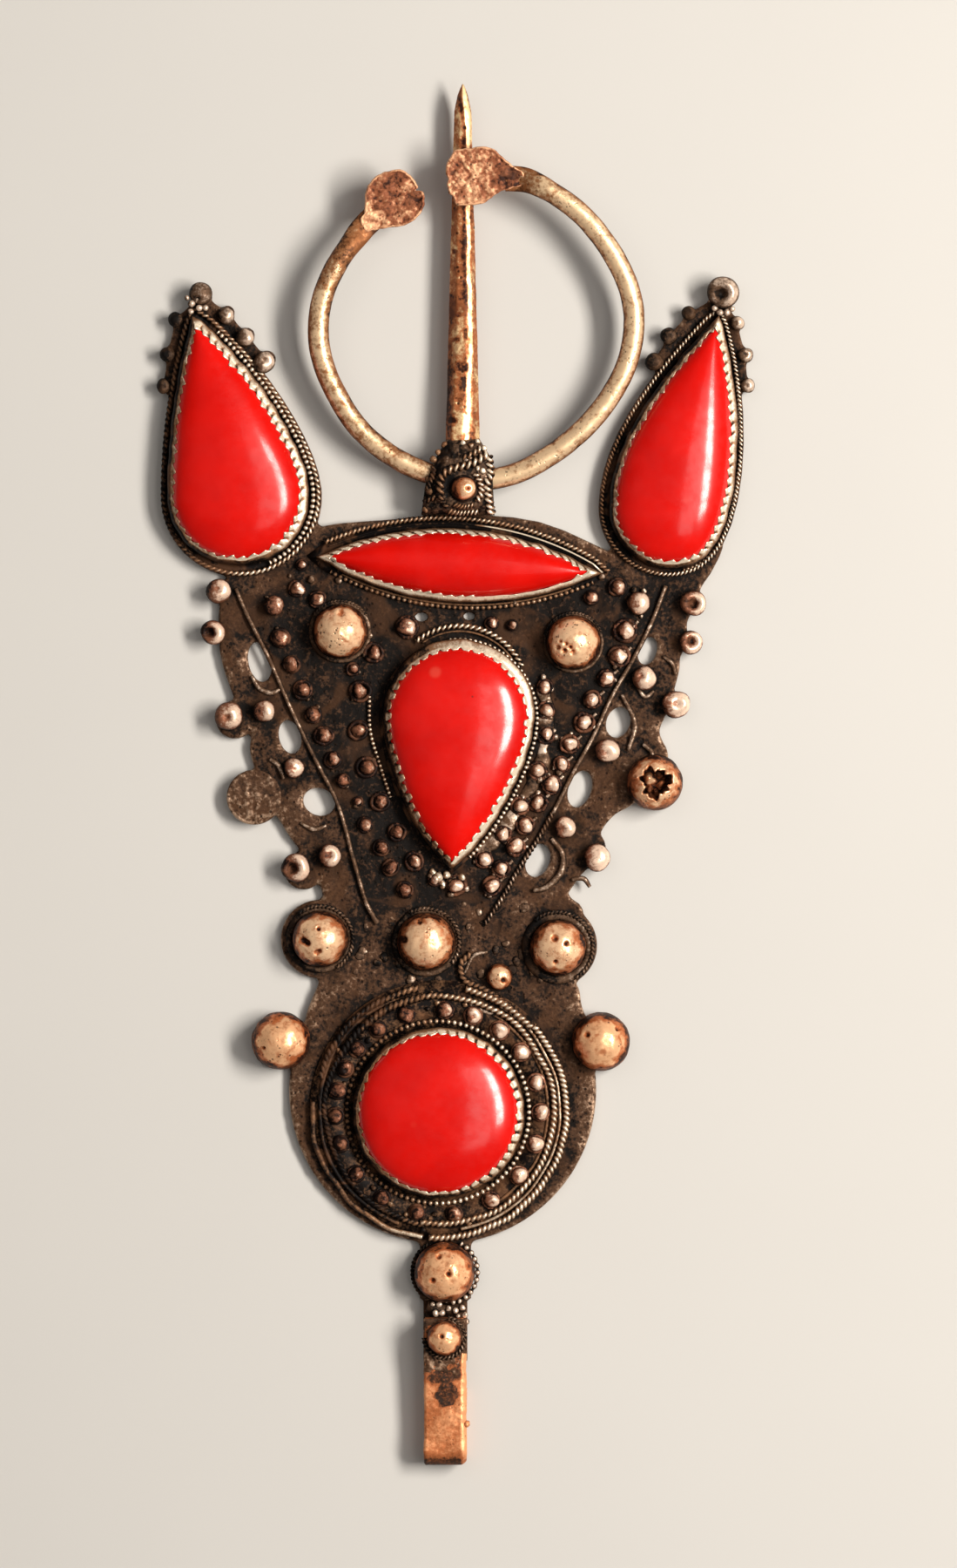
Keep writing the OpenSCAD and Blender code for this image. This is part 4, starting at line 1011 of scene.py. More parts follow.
# Curls: [x, y] points, radius; they are what remains of the wire tendrils round the openings
curls = [
    ([(-22.4, 10.9), (-21.6, 9.6), (-20.3, 9.0), (-19.3, 9.4)], 0.28),
    ([(10.4, -6.9), (11.6, -8.6), (11.4, -10.6), (9.9, -12.2), (8.4, -12.6)], 0.34),
    ([(19.6, 10.0), (20.6, 8.6), (21.6, 9.2)], 0.24), ([(20.4, 3.4), (21.4, 2.4), (20.9, 1.0)], 0.26),
    ([(-17.0, -5.2), (-15.6, -5.9), (-14.2, -5.5)], 0.26),
    ([(-20.4, 1.8), (-19.4, 1.0), (-18.9, -0.4)], 0.28),
    ([(12.6, -11.4), (13.9, -11.3), (14.6, -12.2)], 0.26), ([(22.6, 13.0), (23.6, 12.2), (24.0, 11.0)], 0.24),
    ([(0.9, -21.6), (1.9, -19.7), (3.4, -19.3)], 0.22), ([(0.6, -24.2), (2.6, -25.6), (5.4, -26.4)], 0.26),
    ([(18.1, 8.8), (19.5, 5.7), (18.8, 2.7)], 0.3),
]
# the ridge of solder under the inner right granules
solderRidge = [(9.5, 10.0), (9.8, 7.1), (9.8, 4.3), (8.9, 0.6), (7.0, -3.2), (5.1, -5.9), (2.6, -8.6)]
shape = Shape()
for line, radius in curls:
    path = raised(through(line, 10), level["plate"] + radius * 0.6)
    tube(shape, path, radius * (0.75 + 0.35 * np.sin(np.linspace(0, np.pi, len(path)))), wear=0.6)
ridge = evenly(raised(through(solderRidge, 10), level["plate"]), 0.25)
ridge[:, :2] += ripple(ridge, 2.2, 91)[:, None] * (0.15, 0.05)
bumpy = 1 + ripple(ridge, 1.6, 92) * 0.22
tube(shape, ridge, 0.85 * bumpy, 0.36 * bumpy, 16, wear=0.62 + ripple(ridge, 1.1, 93) * 0.25)
# short tails that run from the right row of granules up to the straight wire
for x, y, r in grainFields["grains_row_right"]["grains"][1:]:
    start = np.array([x + r * 0.5, y + r * 0.6])
    line = np.stack([start, start + [0.45, 0.05], start + [0.85, 0.4]])
    tube(shape, raised(through(line, 5), level["plate"] + 0.2), 0.2, wear=0.75, sides=8)
# crumbs of solder round the granules: how many for each one of a field
dice = np.random.default_rng(87)
crumbs = {"grains_row_right": 3, "grains_inner_right": 4, "grains_row_left": 1, "grains_inner_left": 1}
for name, count in crumbs.items():
    for x, y, r in grainFields[name]["grains"]:
        for k in range(count):
            at = np.array([x, y]) + polar(r * dice.uniform(0.95, 1.35), dice.uniform(0, 360))
            size, worn = dice.uniform(0.2, 0.4), dice.uniform(0.35, 1.0) if count > 1 else 0.4
            seed = 1000 + int(x * 7 + y * 3) + k
            lump(shape, at, size, level["plate"] + 0.1, seed, worn, 10, 7, rough=0.3, paintedLight=0.9)
stray = [(-5.2, 16.3, 0.5), (-9.5, 15.2, 0.42), (-12.9, 21.3, 0.4), (-15.9, 21.4, 0.4), (-18.2, 21.8, 0.22),
         (6.4, 18.8, 0.35), (15.9, 21.7, 0.4), (-0.6, -13.0, 0.4)]
for k, (x, y, r) in enumerate(stray):
    lump(shape, (x, y), r, level["plate"] + r * 0.4, 800 + k, 0.6, rough=0.2)
# flattened drops of solder all over the lower field
dice = np.random.default_rng(83)
for k in range(46):
    x, y = dice.uniform(-11, 11), dice.uniform(-22.5, -14)
    size = dice.uniform(0.2, 0.6)
    lump(shape, (x, y), size, level["plate"], 830 + k, dice.uniform(0.1, 0.6), 14, 9, squash=0.35, rough=0.3)
shape.make("plate_curls", "brooch", "worn_silver", silver["wire"])

print("stage: plate")

# The collar: its left and right edge by y, its top, and the bore that the ring turns in
collarForm = {"y": (28.4, 36.8), "top": 5.25, "slot": (30.0, 34.3), "slotZ": (1.55, 4.45), "power": 4,
              "edgeY": [28.6, 31.5, 33.3, 34.6, 36.7], "left": [-3.8, -3.4, -2.75, -2.2, -1.05],
              "right": [4.16, 3.99, 3.96, 3.76, 2.5]}


def collarEdges(y):
    c = collarForm
    return np.interp(y, c["edgeY"], c["left"]), np.interp(y, c["edgeY"], c["right"])


# The plate: size of its remeshed cells, waves as [size, depth], widths of its bright edge and of the
# darkening round what is soldered on, and its tongue, which is no wider than the strip on it
plateForm = {"voxel": 0.3, "waves": [(5.0, 0.06), (1.7, 0.045), (0.8, 0.025)], "edgeWidth": 0.4,
             "darkeningWidth": 0.8, "tongueTop": -57.3, "tongue": (-3.6, 1.2)}


# Distance from each point to the nearest of the samples, in blocks
def nearest(points, samples, block=3000):
    far = np.empty(len(points))
    square = (samples ** 2).sum(1)
    for k in range(0, len(points), block):
        p = points[k:k + block]
        apart = (p ** 2).sum(1)[:, None] + square - 2 * p @ samples.T
        far[k:k + block] = np.sqrt(np.maximum(0, apart).min(1))
    return far


# One attribute of a mesh's parts, as rows of so many values
def rowsOf(parts, name, width, kind=float):
    values = np.empty(len(parts) * width, kind)
    parts.foreach_get(name, values)
    return values.reshape(-1, width)


# A new mesh of a piece with its modifiers applied
def applied(piece):
    bpy.context.view_layer.update()
    return bpy.data.meshes.new_from_object(piece.evaluated_get(bpy.context.evaluated_depsgraph_get()))


# Points along the top edge of the plate's walls: those of its wall faces' edges that lie at its top
def plateRim(merged):
    corners = rowsOf(merged.vertices, "co", 3) / toMetres
    edges = rowsOf(merged.edges, "vertices", 2, int)
    wallFaces = np.abs(rowsOf(merged.polygons, "normal", 3)[:, 2]) < 0.5
    wallEdges = np.unique(rowsOf(merged.loops, "edge_index", 1, int).reshape(-1, 3)[wallFaces])
    ends = corners[edges[wallEdges]]
    rim = ends[(np.abs(ends[:, :, 2] - level["plate"]) < 1e-3).all(1)][:, :, :2]
    share = np.linspace(0, 1, 8)[None, :, None]
    return (rim[:, :1] * (1 - share) + rim[:, 1:] * share).reshape(-1, 2)


# Outlines of what is soldered on the plate, in one array
def solderedLines():
    lines = [grow(outlines[k][::4], 1.3, 1.5) for k in ("wing_left", "wing_right", "top", "centre")]
    lines.append(roundOutline(roundRopes["centre"], 14.3, 0.4))
    lines += [roundOutline(d["centre"], d["ring"], 0.4) for d in domes.values()]
    for field in grainFields.values():
        lines += [roundOutline((x, y), r, 0.4) for x, y, r, *cup in field["grains"]]
    return np.vstack(lines + [leftLine[::2, :2], rightLine[::2, :2]])


# The plate: the solid's own shape, remeshed finely, waved a little, darker round what is soldered on
def plate():
    f = plateForm
    solid = bpy.data.objects.new("plateSource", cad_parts["back_plate"].data.copy())
    bpy.context.scene.collection.objects.link(solid)
    solid.modifiers.new("merge", "WELD").merge_threshold = 1e-6
    merged = applied(solid)
    rim = plateRim(merged)

    solid.modifiers.clear()
    solid.data = merged
    remesh = solid.modifiers.new("remesh", "REMESH")
    remesh.mode, remesh.voxel_size = "VOXEL", f["voxel"] * toMetres
    fine = applied(solid)
    bpy.data.objects.remove(solid)
    points = rowsOf(fine.vertices, "co", 3) / toMetres
    edge = nearest(points[:, :2], rim)
    nearSoldered = nearest(points[:, :2], solderedLines())
    wave = layered(points, 1, *f["waves"])
    top = points[:, 2] > level["plate"] * 0.75
    points[:, 2] += np.where(top, wave * smoothstep(edge, 0.1, 0.9) - 0.02, 0)
    points[:, 2] -= np.where(top, (1 - smoothstep(edge, 0.0, 0.35)) * 0.05, 0)
    # near-black between the straight wires, lighter below them
    y = points[:, 1]
    left = np.interp(y, leftLine[::-1, 1], leftLine[::-1, 0]) - 0.4
    right = np.interp(y, rightLine[::-1, 1], rightLine[::-1, 0]) + 0.4
    between = (points[:, 0] > left) * (points[:, 0] < right)
    field = between * smoothstep(y, -16, -13) * (1 - smoothstep(y, 19, 21))
    below = 1 - smoothstep(y, -17, -13)
    wear = 0.3 + 0.5 * np.exp(-edge / f["edgeWidth"]) - 0.4 * np.exp(-nearSoldered / f["darkeningWidth"])
    wear = wear - 0.22 * field + 0.1 * below + wave * 1.2 * top
    wear = np.where(points[:, 2] < level["plate"] * 0.6, 0.4, wear) + ripple(points, 7.0, 3) * 0.08
    # the plate's neck stays under the collar
    collarLeft, collarRight = collarEdges(y)
    under = (y > 31) & (np.abs(points[:, 0]) < 6)
    points[:, 0] = np.where(under, np.clip(points[:, 0], collarLeft + 0.2, collarRight - 0.2), points[:, 0])
    points[:, 0] = np.where(y < f["tongueTop"], np.clip(points[:, 0], *f["tongue"]), points[:, 0])
    fine.vertices.foreach_set("co", (points * toMetres).ravel())
    fine.polygons.foreach_set("use_smooth", np.ones(len(fine.polygons), bool))
    addWear(fine, wear)
    fine.update()
    dress(bpy.data.objects.new("plate_sheet", fine), "brooch", "plate_patina", silver["plate"], "back_plate")


plate()

discForm = {"centre": (-22.1, -2.4), "top": 1.78}


# The bare disc: lightly pitted, with a bright thin rim at its lower left
def discBare(sides=96):
    d, v = discForm, circle(sides)
    rho = np.array([2.98, 3.0, 2.97, 2.85, *np.linspace(2.7, 0.12, 22)])
    height = np.array([1.15, 1.5, 1.7, d["top"], *np.full(22, 1.74)])
    points = revolved(d["centre"], rho, height, v)
    rim = smoothstep(np.cos(v - np.radians(225)), 0.1, 0.9)[None] * smoothstep(rho, 2.6, 2.85)[:, None]
    rough = layered(points, 12, (1.3, 0.03), (0.6, 0.02))
    points[..., 2] += rough * (rho < 2.9)[:, None]
    shape = Shape().grid(points, 0.5 + 0.45 * rim + rough * 3, capFirst=True, capLast=True)
    shape.make("disc_bare", "brooch", "dull_disc", silver["plate"], "disc_bare")


discBare()

print("stage: collar, pin, ring and strip")

# The ring: its plane's place in the collar, radius and tilt, its wire's radius and angles, and its flat
# ends' height and thickness
ringForm = {"x": 2.1, "collarY": 32.2, "collarZ": 3.0, "radius": 16.8, "wire": 1.15, "span": (151.0, 429.0),
            "tilt": 3.75, "endZ": -1.1, "endThickness": 0.9}
tilt = np.radians(ringForm["tilt"])
ringCentre = np.array([ringForm["x"], ringForm["collarY"] + ringForm["radius"] * np.cos(tilt),
                       ringForm["collarZ"] + ringForm["radius"] * np.sin(tilt)])


def ringPlane(points):  # from the ring's own plane to the frame: turned about x by the tilt, then moved
    x, y, z = points[..., 0], points[..., 1], points[..., 2]
    c, s = np.cos(tilt), np.sin(tilt)
    return np.stack([x, y * c - z * s, y * s + z * c], -1) + ringCentre


# Height of the collar's top: a rounded box, (|t|^4 + |w|^4 = 1), lower towards its sides
def collarTop(x, y):
    c = collarForm
    left, right = collarEdges(y)
    middle, half = (c["y"][0] + c["y"][1]) / 2, (c["y"][1] - c["y"][0]) / 2
    t = np.clip(np.abs(y - middle) / half, 0, 1)
    rise = (c["top"] - level["plate"]) * (1 - t ** c["power"]) ** (1 / c["power"])
    sideways = np.clip(np.abs((x - (left + right) / 2) / ((right - left) / 2)), 0, 1)
    return level["plate"] + rise * (1 - 0.28 * sideways ** 4)


# A coordinate of a rounded box: the middle of a span, plus half of it times a signed power of a sine
def boxy(span, wave, power):
    return (span[0] + span[1]) / 2 + (span[1] - span[0]) / 2 * np.sign(wave) * np.abs(wave) ** power


# The collar's block: a rounded section in y and z, with its slot, carried from the left edge to the right
# one
def collarBlock(shape, sides=120, steps=56):
    c, v = collarForm, circle(sides)
    u, w = np.cos(v), np.sin(v)
    outerY, innerY = boxy(c["y"], u, 2 / c["power"]), boxy(c["slot"], u, 0.8)
    share = np.linspace(0, 1, steps)[:, None]
    left, right = collarEdges(outerY)
    x = left + (right - left) * share
    z = np.where(w > 0, collarTop(x, outerY), level["plate"] - 0.05)
    skin = np.stack([x, np.broadcast_to(outerY, x.shape), z], -1)
    rough = layered(skin, 21, (1.4, 0.1), (0.6, 0.06))
    skin[..., 2] += rough * (w > 0) * smoothstep(skin[..., 2], 1.5, 3)
    left, right = collarEdges(innerY)
    x = (left + (right - left) * share)[::-1]
    bore = np.stack([x, *(np.broadcast_to(k, x.shape) for k in (innerY, boxy(c["slotZ"], w, 0.8)))], -1)
    # the block's skin is paler towards its right side as painted light, where it faces the light, and paler
    # towards the pin
    glow = 0.12 + 0.2 * smoothstep(skin[..., 0], -2.5, 2.5) + 0.1 * smoothstep(skin[..., 1], 33.5, 35.5)
    wear = np.concatenate([glow + rough * 1.6, np.zeros_like(bore[..., 0])])
    shape.grid(np.concatenate([skin, bore])[:, ::-1], wear[:, ::-1], wrapRows=True)


bossForm = {"at": (0.75, 31.2), "height": 5.5, "radius": 1.28}

# Ropes over the collar: [x, y] points, radius, pitch, wear at the start and at the end. The wear holds
# painted light: the ropes and rope ends on the collar's left are darker as painted shade, those on its right
# paler
collarRopes = [
    ([(-1.7, 29.9), (-1.75, 31.5), (-1.42, 32.7), (-0.36, 33.36), (0.57, 33.6), (1.37, 33.76), (2.43, 34.3),
      (3.23, 34.96)], 0.52, 1.35, 0.3, 1.0),
    ([(0.6, 34.5), (1.6, 34.85), (2.6, 35.6)], 0.4, 1.2, 0.4, 0.8),
    ([(3.5, 34.7), (3.7, 32.9), (3.36, 31.77), (3.5, 30.3), (3.8, 28.7)], 0.55, 1.3, 1.0, 1.0),
    ([(2.0, 32.9), (2.6, 32.0), (2.75, 30.9), (2.35, 29.8)], 0.42, 1.15, 0.8, 1.0),
    ([(-3.5, 29.7), (-2.1, 30.2), (-0.9, 29.2)], 0.36, 1.1, 0.22, 0.28),
    ([(-3.2, 31.0), (-2.6, 32.4), (-2.5, 33.6)], 0.34, 1.1, 0.18, 0.22),
    ([(-0.9, 28.8), (0.6, 28.6), (2.4, 28.7)], 0.42, 0.9, 0.55, 0.85),
    ([(-0.3, 29.5), (0.8, 29.2), (1.9, 29.4)], 0.34, 0.9, 0.45, 0.7),
]

# Granules on the collar: x, y, radius, wear. Two bright ones lie at the pin's root, then dark ones on the
# left, in painted shade, and the ones on the right are paler, in painted light
collarGrains = [
    (0.7, 36.2, 0.3, 1.0), (2.3, 36.4, 0.32, 1.0), (-2.5, 34.4, 0.4, 0.4), (-2.0, 35.2, 0.35, 0.35),
    (-1.3, 36.0, 0.35, 0.3), (-3.0, 32.2, 0.4, 0.25), (-2.9, 30.9, 0.4, 0.3), (-3.4, 28.9, 0.35, 0.3),
    (1.6, 35.9, 0.3, 0.6), (3.0, 35.6, 0.3, 0.9), (2.9, 33.1, 0.35, 0.9), (2.3, 33.4, 0.3, 0.8),
]


def collar():
    b, block, boss, shape = bossForm, Shape(), Shape(), Shape()
    collarBlock(block)
    lump(boss, b["at"], b["radius"], b["height"], 40, 0.75, 44, 30, (0.42, -0.02, 0.17, 0.6), 1.0, 0.05, 1.0)
    boss.make("collar_boss", "brooch", "warm_domes", silver["dome"])
    block.make("collar_block", "brooch", "plate_patina", silver["wire"], "ring_collar")
    tube(shape, raised(roundOutline(b["at"], 1.2, 0.2), 5.2), 0.3, closed=True, wear=0.1)
    for line, radius, pitch, first, last in collarRopes:
        path = evenly(raised(through(line, 12), 0), 0.1)
        path[:, 2] = collarTop(path[:, 0], path[:, 1]) + 0.12
        rope(shape, path, radius, pitch, wear=fading(first, last))
    for k, (x, y, r, wear) in enumerate(collarGrains):
        lump(shape, (x, y), r, collarTop(x, y) + 0.05, 50 + k, wear, rough=0.2)
    shape.make("collar_ropes", "brooch", "plate_patina", silver["bezel"])


collar()

# The pin: its taper as [run from the tip, share of the width], its section in half widths, and by the run
# the middle and half width of its painted highlight, a pale band along the facet that faces the light. Pits:
# x, y, radius across and along, depth
pinForm = {"x": 0.7, "z": 2.7, "tipY": 75.4, "width": 3.8,
           "taper": [(0, 0.03), (0.5, 0.16), (1.2, 0.3), (3.0, 0.5), (19.6, 0.74), (29.3, 0.87), (38.8, 1),
                     (40.4, 1.0)],
           "section": [(-1, 0), (-0.62, -0.68), (0.6, -0.68), (1, 0), (0.68, 0.5), (0.14, 0.76), (-0.5, 0.7)],
           "highlightRun": [0, 5, 16.5, 28.9, 37.4, 40], "highlightAt": [0.3, 0.6, 0.45, 0.52, 0.25, 0.2],
           "highlightHalf": [0.5, 0.22, 0.16, 0.13, 0.14, 0.15],
           "pits": [(0.24, 50.2, 0.22, 0.22, 0.16), (0.07, 47.5, 0.28, 0.22, 0.15),
                    (0.19, 40.9, 0.36, 0.2, 0.18), (0.62, 44.55, 0.72, 0.48, 0.12),
                    (0.93, 70.6, 0.15, 0.15, 0.1), (0.73, 69.5, 0.15, 0.2, 0.1),
                    (-0.2, 57.1, 0.2, 0.25, 0.1), (0.9, 54.0, 0.15, 0.5, 0.1),
                    (-0.4, 38.7, 0.4, 0.3, 0.15), (0.4, 66.5, 0.3, 0.4, 0.1),
                    (1.0, 48.1, 0.2, 0.6, 0.08), (0.9, 42.6, 0.2, 0.6, 0.1)]}


# The pin: its section's corners are doubled, so that smooth shading keeps the facets, and carried along y
def pin():
    p = pinForm
    corners = np.array(p["section"], float)
    after = np.roll(corners, -1, 0)
    share = np.array([0.06, 0.22, 0.41, 0.59, 0.78, 0.94])[None, :, None]
    section = (corners[:, None] * (1 - share) + after[:, None] * share).reshape(-1, 2)
    taper = np.array(p["taper"])
    run = np.concatenate([np.linspace(0, 1.2, 12)[:-1], np.arange(1.2, 40.4, 0.12)])
    width = np.interp(run, taper[:, 0], taper[:, 1]) * p["width"] / 2
    bright = np.interp(run, p["highlightRun"], p["highlightAt"])[:, None]
    half = np.interp(run, p["highlightRun"], p["highlightHalf"])[:, None]
    # the ridge leans with the painted highlight
    across = section[:, 0] + (bright - 0.41) * (1 - section[:, 0] ** 2) * (section[:, 1] > 0)
    x = p["x"] + across * width[:, None]
    z = p["z"] + section[:, 1] * width[:, None]
    points = np.stack([x, np.broadcast_to((p["tipY"] - run)[:, None], x.shape), z], -1)
    rough = layered(points, 31, (3.5, 0.02), (0.9, 0.014), (0.45, 0.01))
    solid = smoothstep(run, 0.2, 3.0)[:, None]
    points[..., 0] += rough * 0.6 * solid
    points[..., 2] += rough * solid * 0.7
    upper = section[:, 1] > 0
    wander = ripple(points, 3.0, 34) * 0.05
    # painted highlight: a pale band along the facet that faces the light
    band = 1 - smoothstep(np.abs(across + wander - bright) / half, 0.75, 1.15)
    # left of the painted highlight a dark stripe near the tip, pitted tan metal lower down
    stripe = np.exp(-((across - bright + half * 1.9) / 0.22) ** 2) * (1 - smoothstep(run, 22, 30)[:, None])
    patchy = ripple(points * [1, 0.5, 1], 2.6, 35)
    outer = smoothstep(-across, 0.55, 0.9) * smoothstep(run, 18, 30)[:, None]
    wear = 0.4 + 0.2 * patchy - 0.5 * stripe - 0.34 * outer + 0.58 * band * upper
    wear = np.where(upper, wear, 0.3) - smoothstep(-rough, 0.01, 0.04) * 0.2
    for px, py, wide, long, depth in p["pits"]:
        far = ((points[..., 0] - px) / wide) ** 4 + ((points[..., 1] - py) / long) ** 4
        dent = np.exp(-far) * (points[..., 2] > p["z"])
        points[..., 2] -= dent * depth
        wear = wear - dent * 0.95
    shape = Shape().grid(points[:, ::-1], wear[:, ::-1], capFirst=True, capLast=True)
    shape.make("pin_body", "brooch", "pale_silver", silver["pin"], "pin")


pin()

# How far the ring's middle line lies outside its circle, by angle
ringOval = {"share": 0.75, "angles": [
                148, 159, 168, 177, 187, 197, 207, 219, 229, 240, 251, 277, 286, 297, 309, 322, 334, 345,
                355, 365, 374, 384, 395, 407, 418, 431],
            "out": [
                -0.7, -0.27, 0.16, 0.42, 0.53, 0.35, 0.1, 0.19, 0.14, 0.08, 0.1, 0.0, -0.18, -0.62, -0.79,
                -0.64, -0.26, 0.25, 0.55, 0.7, 0.54, 0.16, -0.1, -0.11, -0.17, 0]}
# The ring's flat ends in its own plane: middle, where the wire meets it, how wide it is there, and outline
ringEnds = [
    {"middle": (-8.85, 13.85), "neck": (-12.2, 10.75), "width": 1.35, "seed": 71, "outline": [
        (-9.07, 16.83), (-10.12, 16.55), (-11.06, 16.03), (-11.69, 15.19), (-12.0, 14.15), (-12.0, 13.1),
        (-12.15, 12.16), (-12.55, 11.5), (-12.0, 10.3), (-11.16, 10.38), (-10.12, 10.58), (-8.86, 10.75),
        (-7.82, 10.9), (-6.98, 11.32), (-6.36, 11.84), (-5.83, 12.57), (-5.58, 13.41), (-5.69, 14.36),
        (-5.98, 14.63), (-6.52, 14.73), (-6.31, 15.03), (-6.42, 15.44), (-6.98, 16.14), (-7.61, 16.7),
        (-8.28, 16.97)]},
    {"middle": (-0.2, 16.1), "neck": (5.2, 15.95), "width": 1.4, "seed": 75, "outline": [
        (-2.43, 18.8), (-2.66, 18.44), (-2.97, 17.92), (-3.2, 17.39), (-3.26, 16.97), (-3.18, 16.45),
        (-2.99, 15.93), (-3.05, 15.19), (-2.91, 14.46), (-2.49, 14.04), (-2.17, 13.41), (-1.86, 13.1),
        (-1.34, 13.06), (-0.5, 13.1), (0.33, 13.2), (1.06, 13.48), (1.69, 13.94), (2.21, 14.36),
        (2.74, 14.65), (3.47, 14.86), (4.3, 15.05), (5.2, 15.3), (5.3, 15.93), (5.25, 16.55),
        (4.51, 17.08), (3.89, 17.5), (3.26, 18.02), (2.63, 18.65), (2.01, 19.13), (1.17, 19.38),
        (0.33, 19.42), (-0.5, 19.26), (-1.34, 19.21), (-2.17, 19.07)]},
]


# A flat end: rings shrink from the hammered outline to the middle. Its face is rough, its rim thin and
# rubbed
def ringEnd(shape, end, rows=34):
    f, middle, seed = ringForm, np.array(end["middle"]), end["seed"]
    line = evenly(through(end["outline"], 8, closed=True), 0.1, closed=True)
    line += ripple(raised(line, 0), 0.9, seed)[:, None] * normals(line, 1.2) * 0.04
    low, high = f["endZ"], f["endZ"] + f["endThickness"]
    shrink = np.linspace(1, 0.02, rows) ** 0.8
    flat = middle + (line - middle) * shrink[:, None, None]
    top = np.concatenate([flat, np.full((*flat.shape[:2], 1), high)], -1)
    outside = [raised(middle + (line - middle) * k, z)
               for k, z in ((0.05, low), (0.97, low), (1.01, low + 0.15), (1.012, high - 0.18))]
    rough = layered(top, seed + 1, (1.5, 0.07), (0.7, 0.05), (0.35, 0.02))
    inward = (1 - shrink)[:, None] * np.linalg.norm(line - middle, axis=1)
    lip = 0.1 * np.exp(-((inward - 0.15) / 0.12) ** 2)
    top[..., 2] += rough * smoothstep(inward, 0.1, 0.5) + lip - 0.05 * (inward < 0.02)
    rim = np.exp(-(inward / 0.22) ** 2) * (0.6 + 0.4 * smoothstep(ripple(top, 3.0, seed + 4), -0.6, 0.2))
    # the right end darkens towards its neck, the left one brightens there
    fromNeck = np.linalg.norm(flat - np.array(end["neck"]), axis=-1)
    away = smoothstep(fromNeck + ripple(top, 1.6, 79) * 0.3, 2.2, 3.6)
    face = 0.62 - 0.68 * (1 - away) if end["neck"][0] > 0 else 0.42 + 0.5 * (1 - smoothstep(away, 0, 0.35))
    patchy = layered(top, seed + 5, (1.7, 0.1), (0.6, 0.12))
    wear = np.maximum(face + patchy - smoothstep(-rough, 0.03, 0.12) * 0.35, rim * 1.05)
    wear = np.concatenate([np.full((len(outside), len(line)), 0.4), wear])
    shape.grid(ringPlane(np.concatenate([np.stack(outside), top])), wear, capFirst=True, capLast=True)


# The ring: a round wire along its oval, which flattens and runs under its two ends
def ringWire():
    f, oval = ringForm, ringOval
    angles = np.radians(np.arange(*f["span"], 0.8))
    radius = f["radius"] + np.interp(np.degrees(angles), oval["angles"], oval["out"]) * oval["share"]
    arc = np.stack([radius * np.cos(angles), radius * np.sin(angles), np.zeros(len(angles))], -1)
    drop = f["endZ"] + f["endThickness"] / 2 - 0.03
    inner = [np.array(end["neck"]) * 0.6 + np.array(end["middle"]) * 0.4 for end in ringEnds]
    necks = [raised(np.linspace(end["neck"], to, 9), drop) for end, to in zip(ringEnds, inner)]
    path = evenly(np.vstack([necks[0][::-1], arc, necks[1]]), 0.2)
    blend = np.hanning(17) / np.hanning(17).sum()
    padded = np.pad(path, ((8, 8), (0, 0)), mode="edge")
    path = np.stack([np.convolve(column, blend, mode="valid") for column in padded.T], -1)
    run = bearings(path)[0]
    toEnd = np.minimum(run, run[-1] - run)
    flat = 1 - smoothstep(toEnd, 1.2, 5.5)
    wide = np.where(run < run[-1] / 2, ringEnds[0]["width"], ringEnds[1]["width"])
    across = f["wire"] + (wide - f["wire"]) * flat
    rise = f["wire"] * (1 - flat) + 0.36 * flat
    # browner towards the ends, paler towards the right as painted light, and palest along the top, partly as
    # rubbed metal, partly as a painted highlight
    share = run / run[-1]
    glow = 0.85 + 0.2 * smoothstep(path[:, 0], -10, 12)
    glow = glow - 0.5 * (1 - smoothstep(share, 0.03, 0.14)) - 0.45 * smoothstep(share, 0.9, 0.98)
    rough = layered(path, 44, (3.0, 0.08), (1.2, 0.05))
    shape = Shape()
    tube(shape, path, across * (1 + rough * 0.12), rise * (1 + rough * 0.12), 32, wear=glow * 0.98 + rough)
    for part, points in enumerate(shape.points):
        shape.points[part] = ringPlane(points + ripple(points, 1.3, 46)[..., None] * [0, 0, 0.012])
    shape.make("ring_wire", "ring", "pale_silver", silver["ring"], "ring")
    flatEnds = Shape()
    for end in ringEnds:
        ringEnd(flatEnds, end)
    flatEnds.make("ring_ends", "ring", "pale_silver", silver["end"])


ringWire()

# The strip: it starts on the plate at startY, runs down to endY and comes back underneath to hookY
stripForm = {"x": -1.2, "width": 4.65, "thickness": 0.9, "startY": -59.2, "endY": -75.3, "hookY": -67.0,
             "height": 3.6, "corner": 0.45}
# Dark stains on the strip: x, y, half width, half length, strength
stripStains = [(-1.05, -67.45, 1.28, 1.5, 0.95), (-1.9, -65.6, 1.3, 0.7, 0.35), (-0.2, -65.4, 1.5, 0.7, 0.3)]


